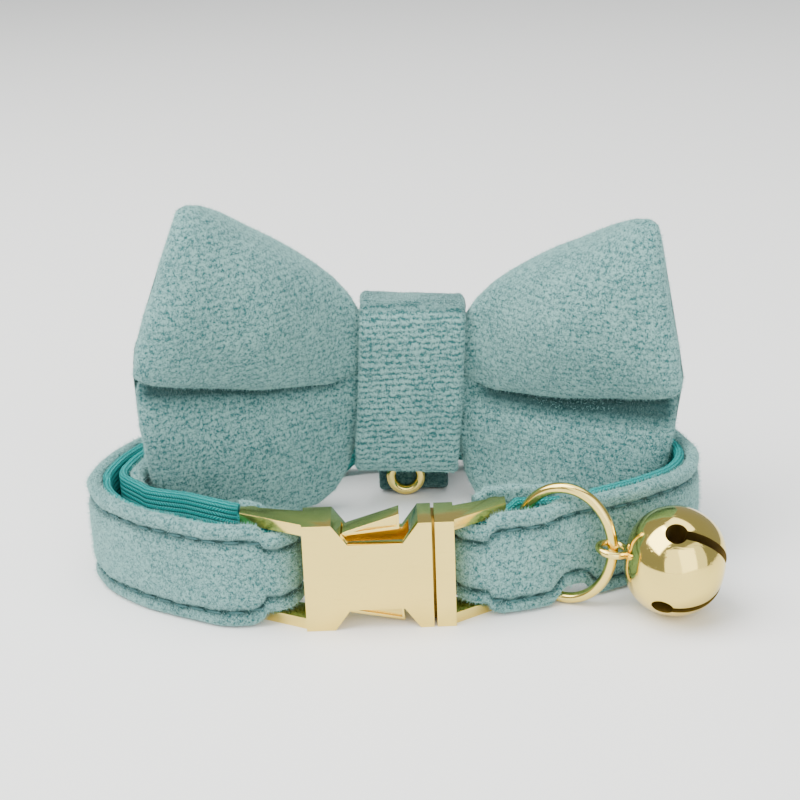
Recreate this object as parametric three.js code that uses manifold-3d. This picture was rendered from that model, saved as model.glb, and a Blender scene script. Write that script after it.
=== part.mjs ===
// A small pet's collar that stands on its lower edge as a closed loop: a velvet strap lined with webbing,
// a side-release buckle at the front, a ring with a jingle bell beside it, and a padded bow at the rear
// that faces the buckle. Lengths are in millimetres, +Z is up, and the buckle's front faces -Y.
import * as THREE from 'three';
import { mergeVertices } from 'three/addons/utils/BufferGeometryUtils.js';
import Module from 'manifold-3d';

const wasm = await Module();
wasm.setup();

// Clearance that neighbouring pieces keep
const gap = 0.3;

// Strap: its cloth layers and the loop that it makes
const strap_width = 15;
const velvet_thick = 1.8;
const webbing_thick = 1.3;
const loop_width = 87.9;
const loop_depth = 57;
const loop_middle = -1.25;
const strap_step = 2.0;
const hem_round = 0.5;
const rear_lift = 1.9;
const rear_lift_half = 9;
const left_tail_length = 50;
const right_tail_length = 13;
const tail_end_space = 0.5;

// Buckle: the socket half on the left, the plug half on the right
const buckle_height = 15.4;
const buckle_depth = 6.5;
const plate_thick = 1.4;
const socket_left = -13.7;
const socket_length = 17.2;
const socket_back_wall = 2.2;
const notch_left = 3.9;
const notch_right = 1.8;
const notch_slope = 2.1;
const notch_depth = 2.9;
const mouth_gap = 0.4;
const plug_head = 2.6;
const tongue_height = 5;
const arm_thick = 1.6;
const socket_arm_reach = 8.5;
const plug_arm_reach = 7.2;
const bar_radius = 1.2;
const bar_inset = 1.4;
const slot_taper = 3.6;
const lip_height = 0.6;

// Levers that lock the buckle, each on a pin at its thin end
const lever_pin_inset = 4.1;
const lever_pin_radius = 1.1;
const lever_length = 8.85;
const lever_rise = 4.0;
const lever_shoulder = 2.1;
const lever_tip_along = 1.9;
const lever_tip_low = 1.2;
const lever_tip_high = 1.85;
const lever_pocket_depth = 0.5;
const lever_rim = 0.36;
const lower_lever_pressed = 6;

// Ring that the strap passes through, and the bell that hangs on it
const ring_wire = 1.5;
const ring_height = 17.8;
const ring_reach = 12.3;
const ring_middle = 9.1;
const ring_along = 16.4;
const ring_turn = 22;
const ring_flat_share = 0.463;
const bell_radius = 7.4;
const bell_half_length = 6.7;
const bell_wall = 0.6;
const bell_fullness = 0.82;
const bell_tilt = 9.5;
const bell_roll = 54;
const bell_forward = 9;
const slit_width = 1.3;
const slit_end_radius = 1.5;
const slit_run = 7.6;
const shank_radius = 1.9;
const shank_wire = 1.0;
const shank_stand = 1.7;
const pea_radius = 2.2;

// Bow: two padded wings in one body, gathered by a knot
const bow_x = 1.7;
const bow_height_up = 22;
const bow_roll = 4;
const wing_reach = 40.0;
const wing_top = 28.1;
const wing_bottom = 22;
const wing_thick = 15;
const wing_sweep = 19.5;
const knot_width = 16;
const knot_height = 27.1;
const knot_depth = 10;
const knot_wall = 1.5;
const knot_low = 6.5;
const knot_y = 42.4;

// Band that holds the bow to the strap, and its ring snap
const band_width = 11;
const band_thick = 1.2;
const snap_radius = 2.8;
const snap_hole = 1.3;
const snap_thick = 0.9;
const snap_height_up = 3.25;

// Outside of the loop in plan, clockwise from above, starting left of the buckle.
// across: share of loop_width from the loop's middle; back: share of loop_depth from the buckle's front.
const LOOP = [
  { across: -0.265, back: 0.030 },
  { across: -0.332, back: 0.079 },
  { across: -0.409, back: 0.154 },
  { across: -0.467, back: 0.246 },
  { across: -0.500, back: 0.362 },
  { across: -0.491, back: 0.484 },
  { across: -0.464, back: 0.586 },
  { across: -0.401, back: 0.728 },
  { across: -0.293, back: 0.868 },
  { across: -0.145, back: 0.970 },
  { across: 0.014, back: 1.000 },
  { across: 0.174, back: 0.977 },
  { across: 0.322, back: 0.884 },
  { across: 0.424, back: 0.738 },
  { across: 0.481, back: 0.563 },
  { across: 0.500, back: 0.390 },
  { across: 0.467, back: 0.272 },
  { across: 0.403, back: 0.195 },
  { across: 0.344, back: 0.148 },
  { across: 0.276, back: 0.099 },
  { across: 0.216, back: 0.058 },
];

// Space between the strap and its turned-back tail on the left.
// along: share of the tail's length from the buckle's bar; space: share of the space at that bar.
const LEFT_TAIL = [
  { along: 0.00, space: 1.00 },
  { along: 0.20, space: 1.05 },
  { along: 0.38, space: 0.95 },
  { along: 0.58, space: 0.45 },
  { along: 0.80, space: 0.22 },
  { along: 1.00, space: 0.17 },
];

// The bow's wings, from the knot outwards. low, middle and high: where a rib's lower end, middle and upper
// end stand, as shares of wing_reach; top and bottom: its ends as shares of wing_top and wing_bottom;
// thick: share of wing_thick; fold: the pleat's height as a share of wing_top; deep: the pleat's depth as a
// share of the rib's half thickness.
const WING = [
  { low: 0.08, middle: 0.08, high: 0.08, top: 0.30, bottom: 0.54, thick: 0.27, fold: 0.00, deep: 0.00 },
  { low: 0.195, middle: 0.195, high: 0.195, top: 0.30, bottom: 0.54, thick: 0.27, fold: 0.00, deep: 0.10 },
  { low: 0.225, middle: 0.225, high: 0.225, top: 0.46, bottom: 0.80, thick: 0.56, fold: 0.00, deep: 0.55 },
  { low: 0.29, middle: 0.30, high: 0.31, top: 0.60, bottom: 0.955, thick: 0.74, fold: 0.01, deep: 0.75 },
  { low: 0.40, middle: 0.43, high: 0.43, top: 0.735, bottom: 0.99, thick: 0.92, fold: 0.03, deep: 0.85 },
  { low: 0.53, middle: 0.57, high: 0.56, top: 0.845, bottom: 1.00, thick: 1.00, fold: 0.05, deep: 0.88 },
  { low: 0.65, middle: 0.70, high: 0.67, top: 0.925, bottom: 1.00, thick: 0.98, fold: 0.07, deep: 0.85 },
  { low: 0.74, middle: 0.82, high: 0.755, top: 0.985, bottom: 0.97, thick: 0.86, fold: 0.10, deep: 0.75 },
  { low: 0.79, middle: 0.90, high: 0.80, top: 1.000, bottom: 0.93, thick: 0.68, fold: 0.13, deep: 0.60 },
  { low: 0.82, middle: 0.955, high: 0.825, top: 1.000, bottom: 0.88, thick: 0.44, fold: 0.15, deep: 0.40 },
  { low: 0.84, middle: 0.985, high: 0.84, top: 0.975, bottom: 0.83, thick: 0.18, fold: 0.16, deep: 0.20 },
];

// Materials
const velvet_colour = 0x7fa9a6;
const webbing_colour = 0x2ba39d;
const gold_colour = 0xe3cf9c;

function material(color, roughness, metalness) {
  return new THREE.MeshStandardMaterial({ color, roughness, metalness });
}

function named(name, geometry, look) {
  const mesh = new THREE.Mesh(geometry, look);
  mesh.name = name;
  return mesh;
}

// A closed body through rings of points that all have the same number of points
function loft(rings, closed = false) {
  const count = rings[0].length;
  const points = rings.flat();
  const index = [];
  const spans = closed ? rings.length : rings.length - 1;
  for (let r = 0; r < spans; r++) {
    const here = r * count;
    const next = ((r + 1) % rings.length) * count;
    for (let k = 0; k < count; k++) {
      const k2 = (k + 1) % count;
      index.push(here + k, here + k2, next + k2, here + k, next + k2, next + k);
    }
  }
  if (!closed) {
    const last = (rings.length - 1) * count;
    for (const [start, flip] of [[0, true], [last, false]]) {
      const centre = new THREE.Vector3();
      for (let k = 0; k < count; k++) centre.addScaledVector(points[start + k], 1 / count);
      const middle = points.push(centre) - 1;
      for (let k = 0; k < count; k++) {
        const k2 = (k + 1) % count;
        if (flip) index.push(middle, start + k2, start + k);
        else index.push(middle, start + k, start + k2);
      }
    }
  }
  const geometry = new THREE.BufferGeometry().setFromPoints(points);
  geometry.setIndex(index);
  return facingOut(geometry);
}

// Turns a closed body's faces outwards if its volume comes out negative
function facingOut(geometry) {
  const at = geometry.attributes.position;
  const index = geometry.index.array;
  const [a, b, c] = [new THREE.Vector3(), new THREE.Vector3(), new THREE.Vector3()];
  let volume = 0;
  for (let i = 0; i < index.length; i += 3) {
    a.fromBufferAttribute(at, index[i]);
    b.fromBufferAttribute(at, index[i + 1]);
    c.fromBufferAttribute(at, index[i + 2]);
    volume += a.dot(b.cross(c));
  }
  if (volume < 0) {
    for (let i = 0; i < index.length; i += 3) [index[i + 1], index[i + 2]] = [index[i + 2], index[i + 1]];
  }
  geometry.computeVertexNormals();
  return geometry;
}

function solidOf(geometry) {
  const bare = geometry.clone();
  bare.deleteAttribute('normal');
  if (bare.attributes.uv) bare.deleteAttribute('uv');
  const merged = mergeVertices(bare, 1e-4);
  return new wasm.Manifold(new wasm.Mesh({
    numProp: 3,
    vertProperties: new Float32Array(merged.attributes.position.array),
    triVerts: new Uint32Array(merged.index.array),
  }));
}

function geometryOf(solid) {
  const mesh = solid.getMesh();
  const geometry = new THREE.BufferGeometry();
  geometry.setAttribute('position', new THREE.BufferAttribute(new Float32Array(mesh.vertProperties), 3));
  geometry.setIndex(Array.from(mesh.triVerts));
  geometry.computeVertexNormals();
  return geometry;
}

function box(x0, x1, y0, y1, z0, z1) {
  const shape = new THREE.BoxGeometry(x1 - x0, y1 - y0, z1 - z0);
  shape.translate((x0 + x1) / 2, (y0 + y1) / 2, (z0 + z1) / 2);
  return solidOf(shape);
}

// A prism from a front-view outline of [x, z] pairs, between two depths
function frontPrism(outline, y0, y1) {
  const shape = new THREE.Shape(outline.map(([x, z]) => new THREE.Vector2(x, z)));
  const prism = new THREE.ExtrudeGeometry(shape, { depth: y1 - y0, bevelEnabled: false, curveSegments: 6 });
  prism.rotateX(Math.PI / 2);
  prism.translate(0, y1, 0);
  return solidOf(prism);
}

// A prism from a plan outline of [x, y] pairs, between two heights
function planPrism(outline, z0, z1) {
  const shape = new THREE.Shape(outline.map(([x, y]) => new THREE.Vector2(x, y)));
  const prism = new THREE.ExtrudeGeometry(shape, { depth: z1 - z0, bevelEnabled: false });
  prism.translate(0, 0, z0);
  return solidOf(prism);
}

function smooth(share) {
  const t = Math.min(1, Math.max(0, share));
  return t * t * (3 - 2 * t);
}

// Reads a table of rows by its first column, with the other column between rows
function between(rows, key, value, at) {
  const last = rows[rows.length - 1];
  if (at >= last[key]) return last[value];
  const next = rows.findIndex((row) => row[key] > at);
  if (next <= 0) return rows[0][value];
  const [a, b] = [rows[next - 1], rows[next]];
  return a[value] + (b[value] - a[value]) * smooth((at - a[key]) / (b[key] - a[key]));
}

const layer = velvet_thick + gap + webbing_thick;
const seam_inset = velvet_thick + gap / 2;
const fold_radius = bar_radius + gap + webbing_thick + gap / 2;
const bar_space = 2 * (bar_radius + gap);
const bar_y = loop_depth * LOOP[0].back + layer + gap + bar_radius;
const socket_bar_x = socket_left - socket_arm_reach + bar_inset;
const socket_right = socket_left + socket_length;
const plug_left = socket_right + mouth_gap;
const plug_right = plug_left + plug_head;
const plug_bar_x = plug_right + plug_arm_reach - bar_inset;
const outside_at_bar = bar_y - layer - gap - bar_radius;

// The loop's outside line, from in front of the socket's bar round to in front of the plug's bar
function outsideLine() {
  const points = [new THREE.Vector3(socket_bar_x, outside_at_bar, 0)];
  for (const row of LOOP) {
    points.push(new THREE.Vector3(loop_middle + row.across * loop_width, row.back * loop_depth, 0));
  }
  points.push(new THREE.Vector3(plug_bar_x, outside_at_bar, 0));
  return new THREE.CatmullRomCurve3(points, false, 'centripetal');
}

const outside = outsideLine();
const outside_length = outside.getLength();

// A point of the loop's outside line at a length from its start, with the direction that points inwards
function stationAt(length) {
  const share = Math.min(1, Math.max(0, length / outside_length));
  const point = outside.getPointAt(share);
  const along = outside.getTangentAt(share);
  const inward = new THREE.Vector3(along.y, -along.x, 0);
  if (share === 0 || share === 1) inward.set(0, 1, 0);
  return { point, inward };
}

// The whole strap's seam line, between velvet and webbing: the left tail from its end to the socket's bar,
// the loop, and the right tail from the plug's bar to its end. Each station has a place, the direction away
// from the velvet, and how far it lies from the bar's fold along the outer and the turned-back run.
function seamLine() {
  const stations = [];
  const tail = (start, length, direction, space) => {
    const steps = Math.round(length / strap_step);
    const run = [];
    for (let i = steps; i >= 1; i--) {
      const along = (length * i) / steps;
      const { point, inward } = stationAt(start + direction * along);
      const out = layer + space(along / length) + webbing_thick + gap / 2;
      run.push({ at: point.clone().addScaledVector(inward, out), away: inward.clone().negate(), tail: along });
    }
    return run;
  };
  const fold = (bar_x, from, to) => {
    const steps = 10;
    const arc = [];
    for (let i = 0; i <= steps; i++) {
      const angle = from + ((to - from) * i) / steps;
      const out = new THREE.Vector3(Math.cos(angle), Math.sin(angle), 0);
      const at = new THREE.Vector3(bar_x, bar_y, 0).addScaledVector(out, fold_radius);
      arc.push({ at, away: out.negate(), fold: true });
    }
    return arc;
  };
  stations.push(...tail(0, left_tail_length, 1, (t) => bar_space * between(LEFT_TAIL, 'along', 'space', t)));
  stations.push(...fold(socket_bar_x, Math.PI / 2, -Math.PI / 2));
  const steps = Math.round(outside_length / strap_step);
  for (let i = 1; i < steps; i++) {
    const { point, inward } = stationAt((outside_length * i) / steps);
    const at = point.clone().addScaledVector(inward, seam_inset);
    stations.push({ at, away: inward, outer: Math.min(i, steps - i) * (outside_length / steps), plug_side: i > steps / 2 });
  }
  stations.push(...fold(plug_bar_x, -Math.PI / 2, -1.5 * Math.PI));
  const right = (t) => bar_space + (tail_end_space - bar_space) * smooth((t - 0.45) / 0.55);
  stations.push(...tail(outside_length, right_tail_length, -1, right).reverse());
  return stations;
}

// How much of the way a layer's edges are drawn in at a station to pass between the buckle's arms
function drawnIn(station, reach) {
  if (station.fold) return 1;
  const run = station.tail ?? station.outer;
  return 1 - smooth((run - reach) / slot_taper);
}

const slot_edge = arm_thick + gap;
const slot_top = buckle_height - arm_thick - gap;

// The lower and upper edge of one layer of the strap at a station
function edgesAt(station, reach, notch) {
  const drawn = drawnIn(station, reach);
  let low = slot_edge * drawn;
  let high = strap_width + (slot_top - strap_width) * drawn;
  if (station.outer !== undefined) {
    const from_middle = Math.abs(station.at.x - bow_x);
    const rear = 1 - smooth((from_middle - rear_lift_half) / slot_taper);
    if (station.at.y > loop_depth / 2) {
      low += rear_lift * rear;
      high += rear_lift * 0.5 * rear;
    }
    if (station.plug_side && station.at.y < loop_depth / 2) {
      const off = Math.abs(station.at.x - notch.x);
      const lifted = 1 - smooth((off - notch.half) / notch.taper);
      low = Math.max(low, notch.low * lifted);
      high += (notch.high - strap_width) * lifted;
    }
  }
  return { low, high };
}

// One layer of the strap: near and far are its faces' distances from the seam line, towards the bar if positive
function strapLayer(stations, near, far, reach, notch, round) {
  const rings = stations.map((station) => {
    const { low, high } = edgesAt(station, reach, notch);
    const outer = station.at.clone().addScaledVector(station.away, near);
    const inner = station.at.clone().addScaledVector(station.away, far);
    const step = station.away.clone().multiplyScalar(round * Math.sign(far - near));
    const corner = outer.clone().add(step);
    const at = (p, z) => new THREE.Vector3(p.x, p.y, z);
    return [
      at(inner, low), at(corner, low), at(outer, low + round),
      at(outer, high - round), at(corner, high), at(inner, high),
    ];
  });
  return loft(rings);
}

// The ring's place in plan: its flat side lies behind the strap's outer layer
const ring_bar = (() => {
  let best = null;
  for (let length = outside_length * 0.8; length < outside_length; length += 0.1) {
    const { point, inward } = stationAt(length);
    const at = point.clone().addScaledVector(inward, layer + gap + ring_wire / 2);
    if (!best || Math.abs(at.x - ring_along) < Math.abs(best.x - ring_along)) best = at;
  }
  return best;
})();
const ring_direction = new THREE.Vector3(
  Math.cos(THREE.MathUtils.degToRad(ring_turn)),
  -Math.sin(THREE.MathUtils.degToRad(ring_turn)),
  0,
);

// Where the ring passes under the strap, each layer's lower edge is pushed up by it
const ring_low = ring_middle - ring_height / 2 + ring_wire;
const velvet_notch = { x: 22.0, half: 2.8, taper: 3.4, low: ring_low + gap + 0.8, high: 15.6 };
const webbing_notch = { x: 20.4, half: 3.4, taper: 2.6, low: ring_low + gap + 2.3, high: 13.2 };

const seam = seamLine();
const strap_velvet = strapLayer(
  seam, -(gap / 2 + velvet_thick), -gap / 2, -1.4, velvet_notch, hem_round);
const strap_webbing = strapLayer(
  seam, gap / 2 + webbing_thick, gap / 2, 3.8, webbing_notch, gap);

// Outline of the socket's front with its two notches
function socketOutline() {
  const h = buckle_height;
  const [l, r] = [socket_left, socket_right];
  const a = l + notch_left;
  const b = r - notch_right;
  return [
    [l, 0], [a, 0], [a + notch_slope, notch_depth], [b - notch_slope, notch_depth], [b, 0], [r, 0],
    [r, h], [b, h], [b - notch_slope, h - notch_depth], [a + notch_slope, h - notch_depth], [a, h], [l, h],
  ];
}

// Two arms and the bar between them, for either half of the buckle
function armsAndBar(root_x, end_x, bar_x) {
  const plan = [
    [root_x, lip_height], [end_x, bar_y - bar_radius], [end_x, bar_y + bar_radius],
    [root_x, buckle_depth - 2 * lip_height],
  ];
  if (end_x < root_x) plan.reverse();
  const bar = new THREE.CylinderGeometry(bar_radius, bar_radius, buckle_height, 12);
  bar.rotateX(Math.PI / 2);
  bar.translate(bar_x, bar_y, buckle_height / 2);
  return planPrism(plan, 0, arm_thick)
    .add(planPrism(plan, buckle_height - arm_thick, buckle_height))
    .add(solidOf(bar));
}

function socket() {
  const cavity_edge = notch_depth - gap * 4;
  const body = frontPrism(socketOutline(), 0, buckle_depth);
  const cavity = box(
    socket_left + socket_back_wall, socket_right + 1, plate_thick, buckle_depth - plate_thick,
    cavity_edge, buckle_height - cavity_edge);
  const arms = armsAndBar(socket_left + gap, socket_left - socket_arm_reach, socket_bar_x);
  return body.subtract(cavity).add(arms);
}

function plug() {
  const head = box(plug_left, plug_right, 0, buckle_depth, 0, buckle_height);
  const tongue = box(
    socket_left + socket_back_wall + gap, plug_left + 1, plate_thick + gap, buckle_depth - plate_thick - gap,
    (buckle_height - tongue_height) / 2, (buckle_height + tongue_height) / 2);
  const arms = armsAndBar(plug_right - gap, plug_right + plug_arm_reach, plug_bar_x);
  return head.add(tongue).add(arms);
}

const lever_pin_x = socket_left + lever_pin_inset;
const lever_pin_z = buckle_height / 2 + tongue_height / 2 + lever_pin_radius + 0.7;

// A lever lying along +X from its pin at the origin, with a three-cornered pocket in its face
function lever() {
  const front = plate_thick + gap;
  const back = buckle_depth - plate_thick - gap;
  const boss = new THREE.CylinderGeometry(lever_pin_radius, lever_pin_radius, back - front, 14);
  boss.translate(0, (front + back) / 2, 0);
  const foot = lever_rise - lever_shoulder;
  const wedge = frontPrism([
    [0, -lever_pin_radius * 0.7], [lever_tip_along, lever_tip_low], [lever_length, foot],
    [lever_length, lever_rise], [lever_tip_along, lever_tip_high], [0, lever_pin_radius * 0.9],
  ], front, back);
  const pocket = frontPrism([
    [lever_tip_along + 2.2 * lever_rim, (lever_tip_low + lever_tip_high) / 2 + lever_rim * 0.35],
    [lever_length - lever_rim, foot + lever_rim],
    [lever_length - lever_rim, lever_rise - 1.3 * lever_rim],
  ], front - 1, front + lever_pocket_depth);
  return solidOf(boss).add(wedge).subtract(pocket);
}

function placedLever(name, upside_down, pressed) {
  const solid = upside_down ? lever().mirror([0, 0, 1]) : lever();
  const mesh = named(name, geometryOf(solid), material(gold_colour, 0.22, 1));
  mesh.rotation.y = THREE.MathUtils.degToRad(upside_down ? -pressed : pressed);
  mesh.position.set(lever_pin_x, 0, upside_down ? buckle_height - lever_pin_z : lever_pin_z);
  return mesh;
}

// The ring: an arc that closes on a short flat side
function ringWire() {
  const radius = ring_wire / 2;
  const high = ring_height / 2 - radius;
  const middle = ring_reach * ring_flat_share;
  const wide = ring_reach - middle;
  const limit = Math.acos(-middle / wide);
  const path = [];
  const steps = 36;
  for (let i = 0; i <= steps; i++) {
    const angle = -limit + (2 * limit * i) / steps;
    path.push([middle + wide * Math.cos(angle), high * Math.sin(angle)]);
  }
  path.push([0, path[0][1] / 3 * -1], [0, path[0][1] / 3]);
  const side = new THREE.Vector3(-ring_direction.y, ring_direction.x, 0);
  const rings = path.map(([r, z], i) => {
    const [r0, z0] = path[(i + path.length - 1) % path.length];
    const [r1, z1] = path[(i + 1) % path.length];
    const size = Math.hypot(r1 - r0, z1 - z0);
    const [nr, nz] = [(z1 - z0) / size, -(r1 - r0) / size];
    const ring = [];
    for (let k = 0; k < 8; k++) {
      const turn = (Math.PI / 4) * k;
      const out = radius * Math.cos(turn);
      const point = ring_bar.clone().addScaledVector(ring_direction, r + nr * out);
      point.addScaledVector(side, radius * Math.sin(turn));
      point.z = ring_middle + z + nz * out;
      ring.push(point);
    }
    return ring;
  });
  return loft(rings, true);
}

function bellBody(radius, half_length) {
  const profile = [];
  const steps = 12;
  for (let i = 0; i <= steps; i++) {
    const angle = -Math.PI / 2 + (Math.PI * i) / steps;
    const out = i === 0 || i === steps ? 0 : radius * Math.pow(Math.cos(angle), bell_fullness);
    profile.push(new THREE.Vector2(out, half_length * Math.sin(angle)));
  }
  return solidOf(new THREE.LatheGeometry(profile, 28));
}

// The bell: a thin shell cut by two crossing slits with round ends, and a soldered shank
function bell() {
  const shell = bellBody(bell_radius, bell_half_length)
    .subtract(bellBody(bell_radius - bell_wall, bell_half_length - bell_wall));
  const slit_top = slit_run - bell_half_length;
  const across = bell_radius + 1;
  const roll = THREE.MathUtils.degToRad(bell_roll);
  let cut = null;
  for (const turn of [0, Math.PI / 2]) {
    const slot = new THREE.BoxGeometry(slit_width, bell_half_length + 1 + slit_top, 2 * across);
    slot.translate(0, (slit_top - bell_half_length - 1) / 2, 0);
    const end = new THREE.CylinderGeometry(slit_end_radius, slit_end_radius, 2 * across, 12);
    end.rotateX(Math.PI / 2);
    end.translate(0, slit_top, 0);
    slot.rotateY(turn + roll);
    end.rotateY(turn + roll);
    const one = solidOf(slot).add(solidOf(end));
    cut = cut ? cut.add(one) : one;
  }
  const shank = new THREE.TorusGeometry(shank_radius, shank_wire / 2, 6, 14);
  shank.translate(0, bell_half_length + shank_stand, 0);
  return shell.subtract(cut).add(solidOf(shank));
}

const ring_far = ring_bar.clone().addScaledVector(ring_direction, ring_reach);
ring_far.z = ring_middle;
const bell_drop = THREE.MathUtils.degToRad(bell_tilt);
const bell_swing = THREE.MathUtils.degToRad(bell_forward);
const bell_axis = new THREE.Vector3(
  -Math.cos(bell_drop) * Math.cos(bell_swing), Math.cos(bell_drop) * Math.sin(bell_swing), Math.sin(bell_drop));
const bell_centre = ring_far.clone().addScaledVector(bell_axis, -(bell_half_length + shank_stand));

// A point of the bow's own upright frame, turned by its roll and set at its place
function inBow(x, y, z) {
  const roll = THREE.MathUtils.degToRad(bow_roll);
  const up = Math.max(z * Math.cos(roll) - x * Math.sin(roll) + bow_height_up, gap);
  return new THREE.Vector3(bow_x + x * Math.cos(roll) + z * Math.sin(roll), y, up);
}

// One rib of a wing: a closed outline of two pillows at the front, folded in between them, and a plain back.
// Each point is a share of the height, from the lower end, and a share of the half thickness.
function ribOutline(row, foldShare) {
  const pillow = (t) => Math.pow(Math.sin(Math.PI * t), 0.6);
  const points = [];
  const upper = 8;
  const lower = 7;
  const back = 10;
  for (let k = 0; k < upper; k++) {
    const t = k / upper;
    const floor = t > 0.5 ? 1 - row.deep : 0;
    points.push([1 - (1 - foldShare) * (1 - Math.cos(Math.PI * t)) / 2, -(floor + (1 - floor) * pillow(t))]);
  }
  for (let k = 0; k < lower; k++) {
    const t = k / lower;
    const floor = t < 0.5 ? 1 - row.deep : 0;
    points.push([foldShare * (1 + Math.cos(Math.PI * t)) / 2, -(floor + (1 - floor) * pillow(t))]);
  }
  for (let k = 0; k < back; k++) {
    const t = k / back;
    points.push([(1 - Math.cos(Math.PI * t)) / 2, pillow(t)]);
  }
  return points;
}

function wingRib(row, side) {
  const half = (row.thick * wing_thick) / 2;
  const [top, bottom, fold] = [row.top * wing_top, -row.bottom * wing_bottom, row.fold * wing_top];
  return ribOutline(row, (fold - bottom) / (top - bottom)).map(([share, out]) => {
    const { low, middle, high } = row;
    const curved = low * (1 - share) * (1 - 2 * share) + 4 * middle * share * (1 - share)
      + high * share * (2 * share - 1);
    const straight = share < 0.5
      ? low + (middle - low) * share * 2
      : middle + (high - middle) * (share * 2 - 1);
    const reach = (curved + straight) / 2;
    const y = knot_y - wing_sweep * reach * reach + half * out;
    return inBow(side * reach * wing_reach, y, bottom + (top - bottom) * share);
  });
}

function bowBody() {
  const left = [...WING].reverse().map((row) => wingRib(row, -1));
  const right = WING.map((row) => wingRib(row, 1));
  return loft([...left, ...right]);
}

// A rounded section in depth and height, as [y, z] pairs about its middle
function roundedSection(half_depth, half_height, power, count) {
  const section = [];
  for (let k = 0; k < count; k++) {
    const turn = (2 * Math.PI * k) / count;
    const [c, s] = [Math.cos(turn), Math.sin(turn)];
    section.push([
      half_depth * Math.sign(c) * Math.pow(Math.abs(c), 2 / power),
      half_height * Math.sign(s) * Math.pow(Math.abs(s), 2 / power),
    ]);
  }
  return section;
}

// The knot: a band closed round the bow's waist, open at both sides
function knot() {
  const middle = knot_low + knot_height / 2 - bow_height_up;
  const section = (wall, x) => roundedSection(knot_depth / 2 - wall, knot_height / 2 - wall, 3.2, 28)
    .map(([y, z]) => inBow(x, knot_y + y, z + middle));
  const half = knot_width / 2;
  const round = 0.5;
  return loft([
    section(round, -half), section(0, -half + round), section(0, half - round), section(round, half),
    section(knot_wall, half), section(knot_wall, -half),
  ], true);
}

// The band's line round the strap, in depth and height: up from under the knot, over the strap and back below
const rear_inside = loop_depth - layer;
const band_front = knot_y + 3.4;
const BAND = [
  { y: band_front, z: band_thick / 2 + gap + 0.4 },
  { y: band_front, z: 3.2 },
  { y: band_front + 0.1, z: 5.2 },
  { y: knot_y + knot_depth / 2 + gap + band_thick / 2 + 0.6, z: 8.4 },
  { y: rear_inside - 1.6, z: strap_width + rear_lift * 0.4 },
  { y: rear_inside + 0.2, z: strap_width + rear_lift * 0.5 + gap + band_thick / 2 + 0.2 },
  { y: loop_depth + gap + band_thick / 2 - 0.2, z: strap_width + rear_lift * 0.5 + gap + band_thick / 2 },
  { y: loop_depth + gap + band_thick / 2 + 0.1, z: strap_width * 0.9 },
  { y: loop_depth + gap + band_thick / 2 + 0.1, z: 3.2 },
  { y: loop_depth - 0.4, z: band_thick / 2 + gap },
  { y: rear_inside, z: band_thick / 2 + gap },
];

function holdingBand() {
  const line = new THREE.CatmullRomCurve3(
    BAND.map(({ y, z }) => new THREE.Vector3(0, y, z)), true, 'centripetal');
  const steps = 40;
  const rings = [];
  for (let i = 0; i < steps; i++) {
    const point = line.getPointAt(i / steps);
    const along = line.getTangentAt(i / steps);
    const out = new THREE.Vector3(0, along.z, -along.y).multiplyScalar(band_thick / 2);
    const side = band_width / 2;
    rings.push([
      new THREE.Vector3(bow_x - side, point.y - out.y, point.z - out.z),
      new THREE.Vector3(bow_x + side, point.y - out.y, point.z - out.z),
      new THREE.Vector3(bow_x + side, point.y + out.y, point.z + out.z),
      new THREE.Vector3(bow_x - side, point.y + out.y, point.z + out.z),
    ]);
  }
  return loft(rings, true);
}

// The ring snap's face: a domed ring on the band's front
function snapRing() {
  const profile = [];
  const steps = 8;
  const middle = (snap_radius + snap_hole) / 2;
  const half = (snap_radius - snap_hole) / 2;
  for (let i = 0; i <= steps; i++) {
    const angle = (Math.PI * i) / steps;
    profile.push(new THREE.Vector2(middle + half * Math.cos(angle), snap_thick * Math.sin(angle)));
  }
  profile.push(profile[0].clone());
  return new THREE.LatheGeometry(profile, 20);
}

const collar = new THREE.Group();
const gold = () => material(gold_colour, 0.22, 1);
const velvet = () => material(velvet_colour, 0.95, 0);

collar.add(named('strap_velvet', strap_velvet, velvet()));
collar.add(named('strap_webbing', strap_webbing, material(webbing_colour, 0.8, 0)));
collar.add(named('buckle_socket', geometryOf(socket()), gold()));
collar.add(named('buckle_plug', geometryOf(plug()), gold()));
collar.add(placedLever('lever_upper', false, 0));
collar.add(placedLever('lever_lower', true, lower_lever_pressed));
collar.add(named('d_ring', ringWire(), gold()));

const bell_mesh = named('bell', geometryOf(bell()), gold());
const bell_side = new THREE.Vector3().crossVectors(bell_axis, new THREE.Vector3(0, 0, 1)).normalize();
const bell_up = new THREE.Vector3().crossVectors(bell_side, bell_axis);
bell_mesh.quaternion.setFromRotationMatrix(new THREE.Matrix4().makeBasis(bell_side, bell_axis, bell_up));
bell_mesh.position.copy(bell_centre);
collar.add(bell_mesh);

const pea = named('bell_pea', new THREE.SphereGeometry(pea_radius, 14, 10), gold());
pea.position.set(bell_centre.x, bell_centre.y, bell_centre.z - bell_radius + bell_wall + gap + pea_radius + 0.2);
collar.add(pea);

collar.add(named('bow_body', bowBody(), velvet()));
collar.add(named('bow_knot', knot(), velvet()));
collar.add(named('bow_band', holdingBand(), velvet()));
const snap = named('ring_snap', snapRing(), gold());
snap.rotation.x = Math.PI;
snap.position.set(bow_x - 1.2, band_front - band_thick / 2 - gap, snap_height_up);
collar.add(snap);

// The origin is the middle of the collar's footprint, on the surface that it stands on
const bounds = new THREE.Box3().setFromObject(collar, true);
const centre = bounds.getCenter(new THREE.Vector3());
collar.position.set(-centre.x, -centre.y, -bounds.min.z);

export default collar;
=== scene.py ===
"""Looks of a pet's bow tie collar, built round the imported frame."""

import math
import random

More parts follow.
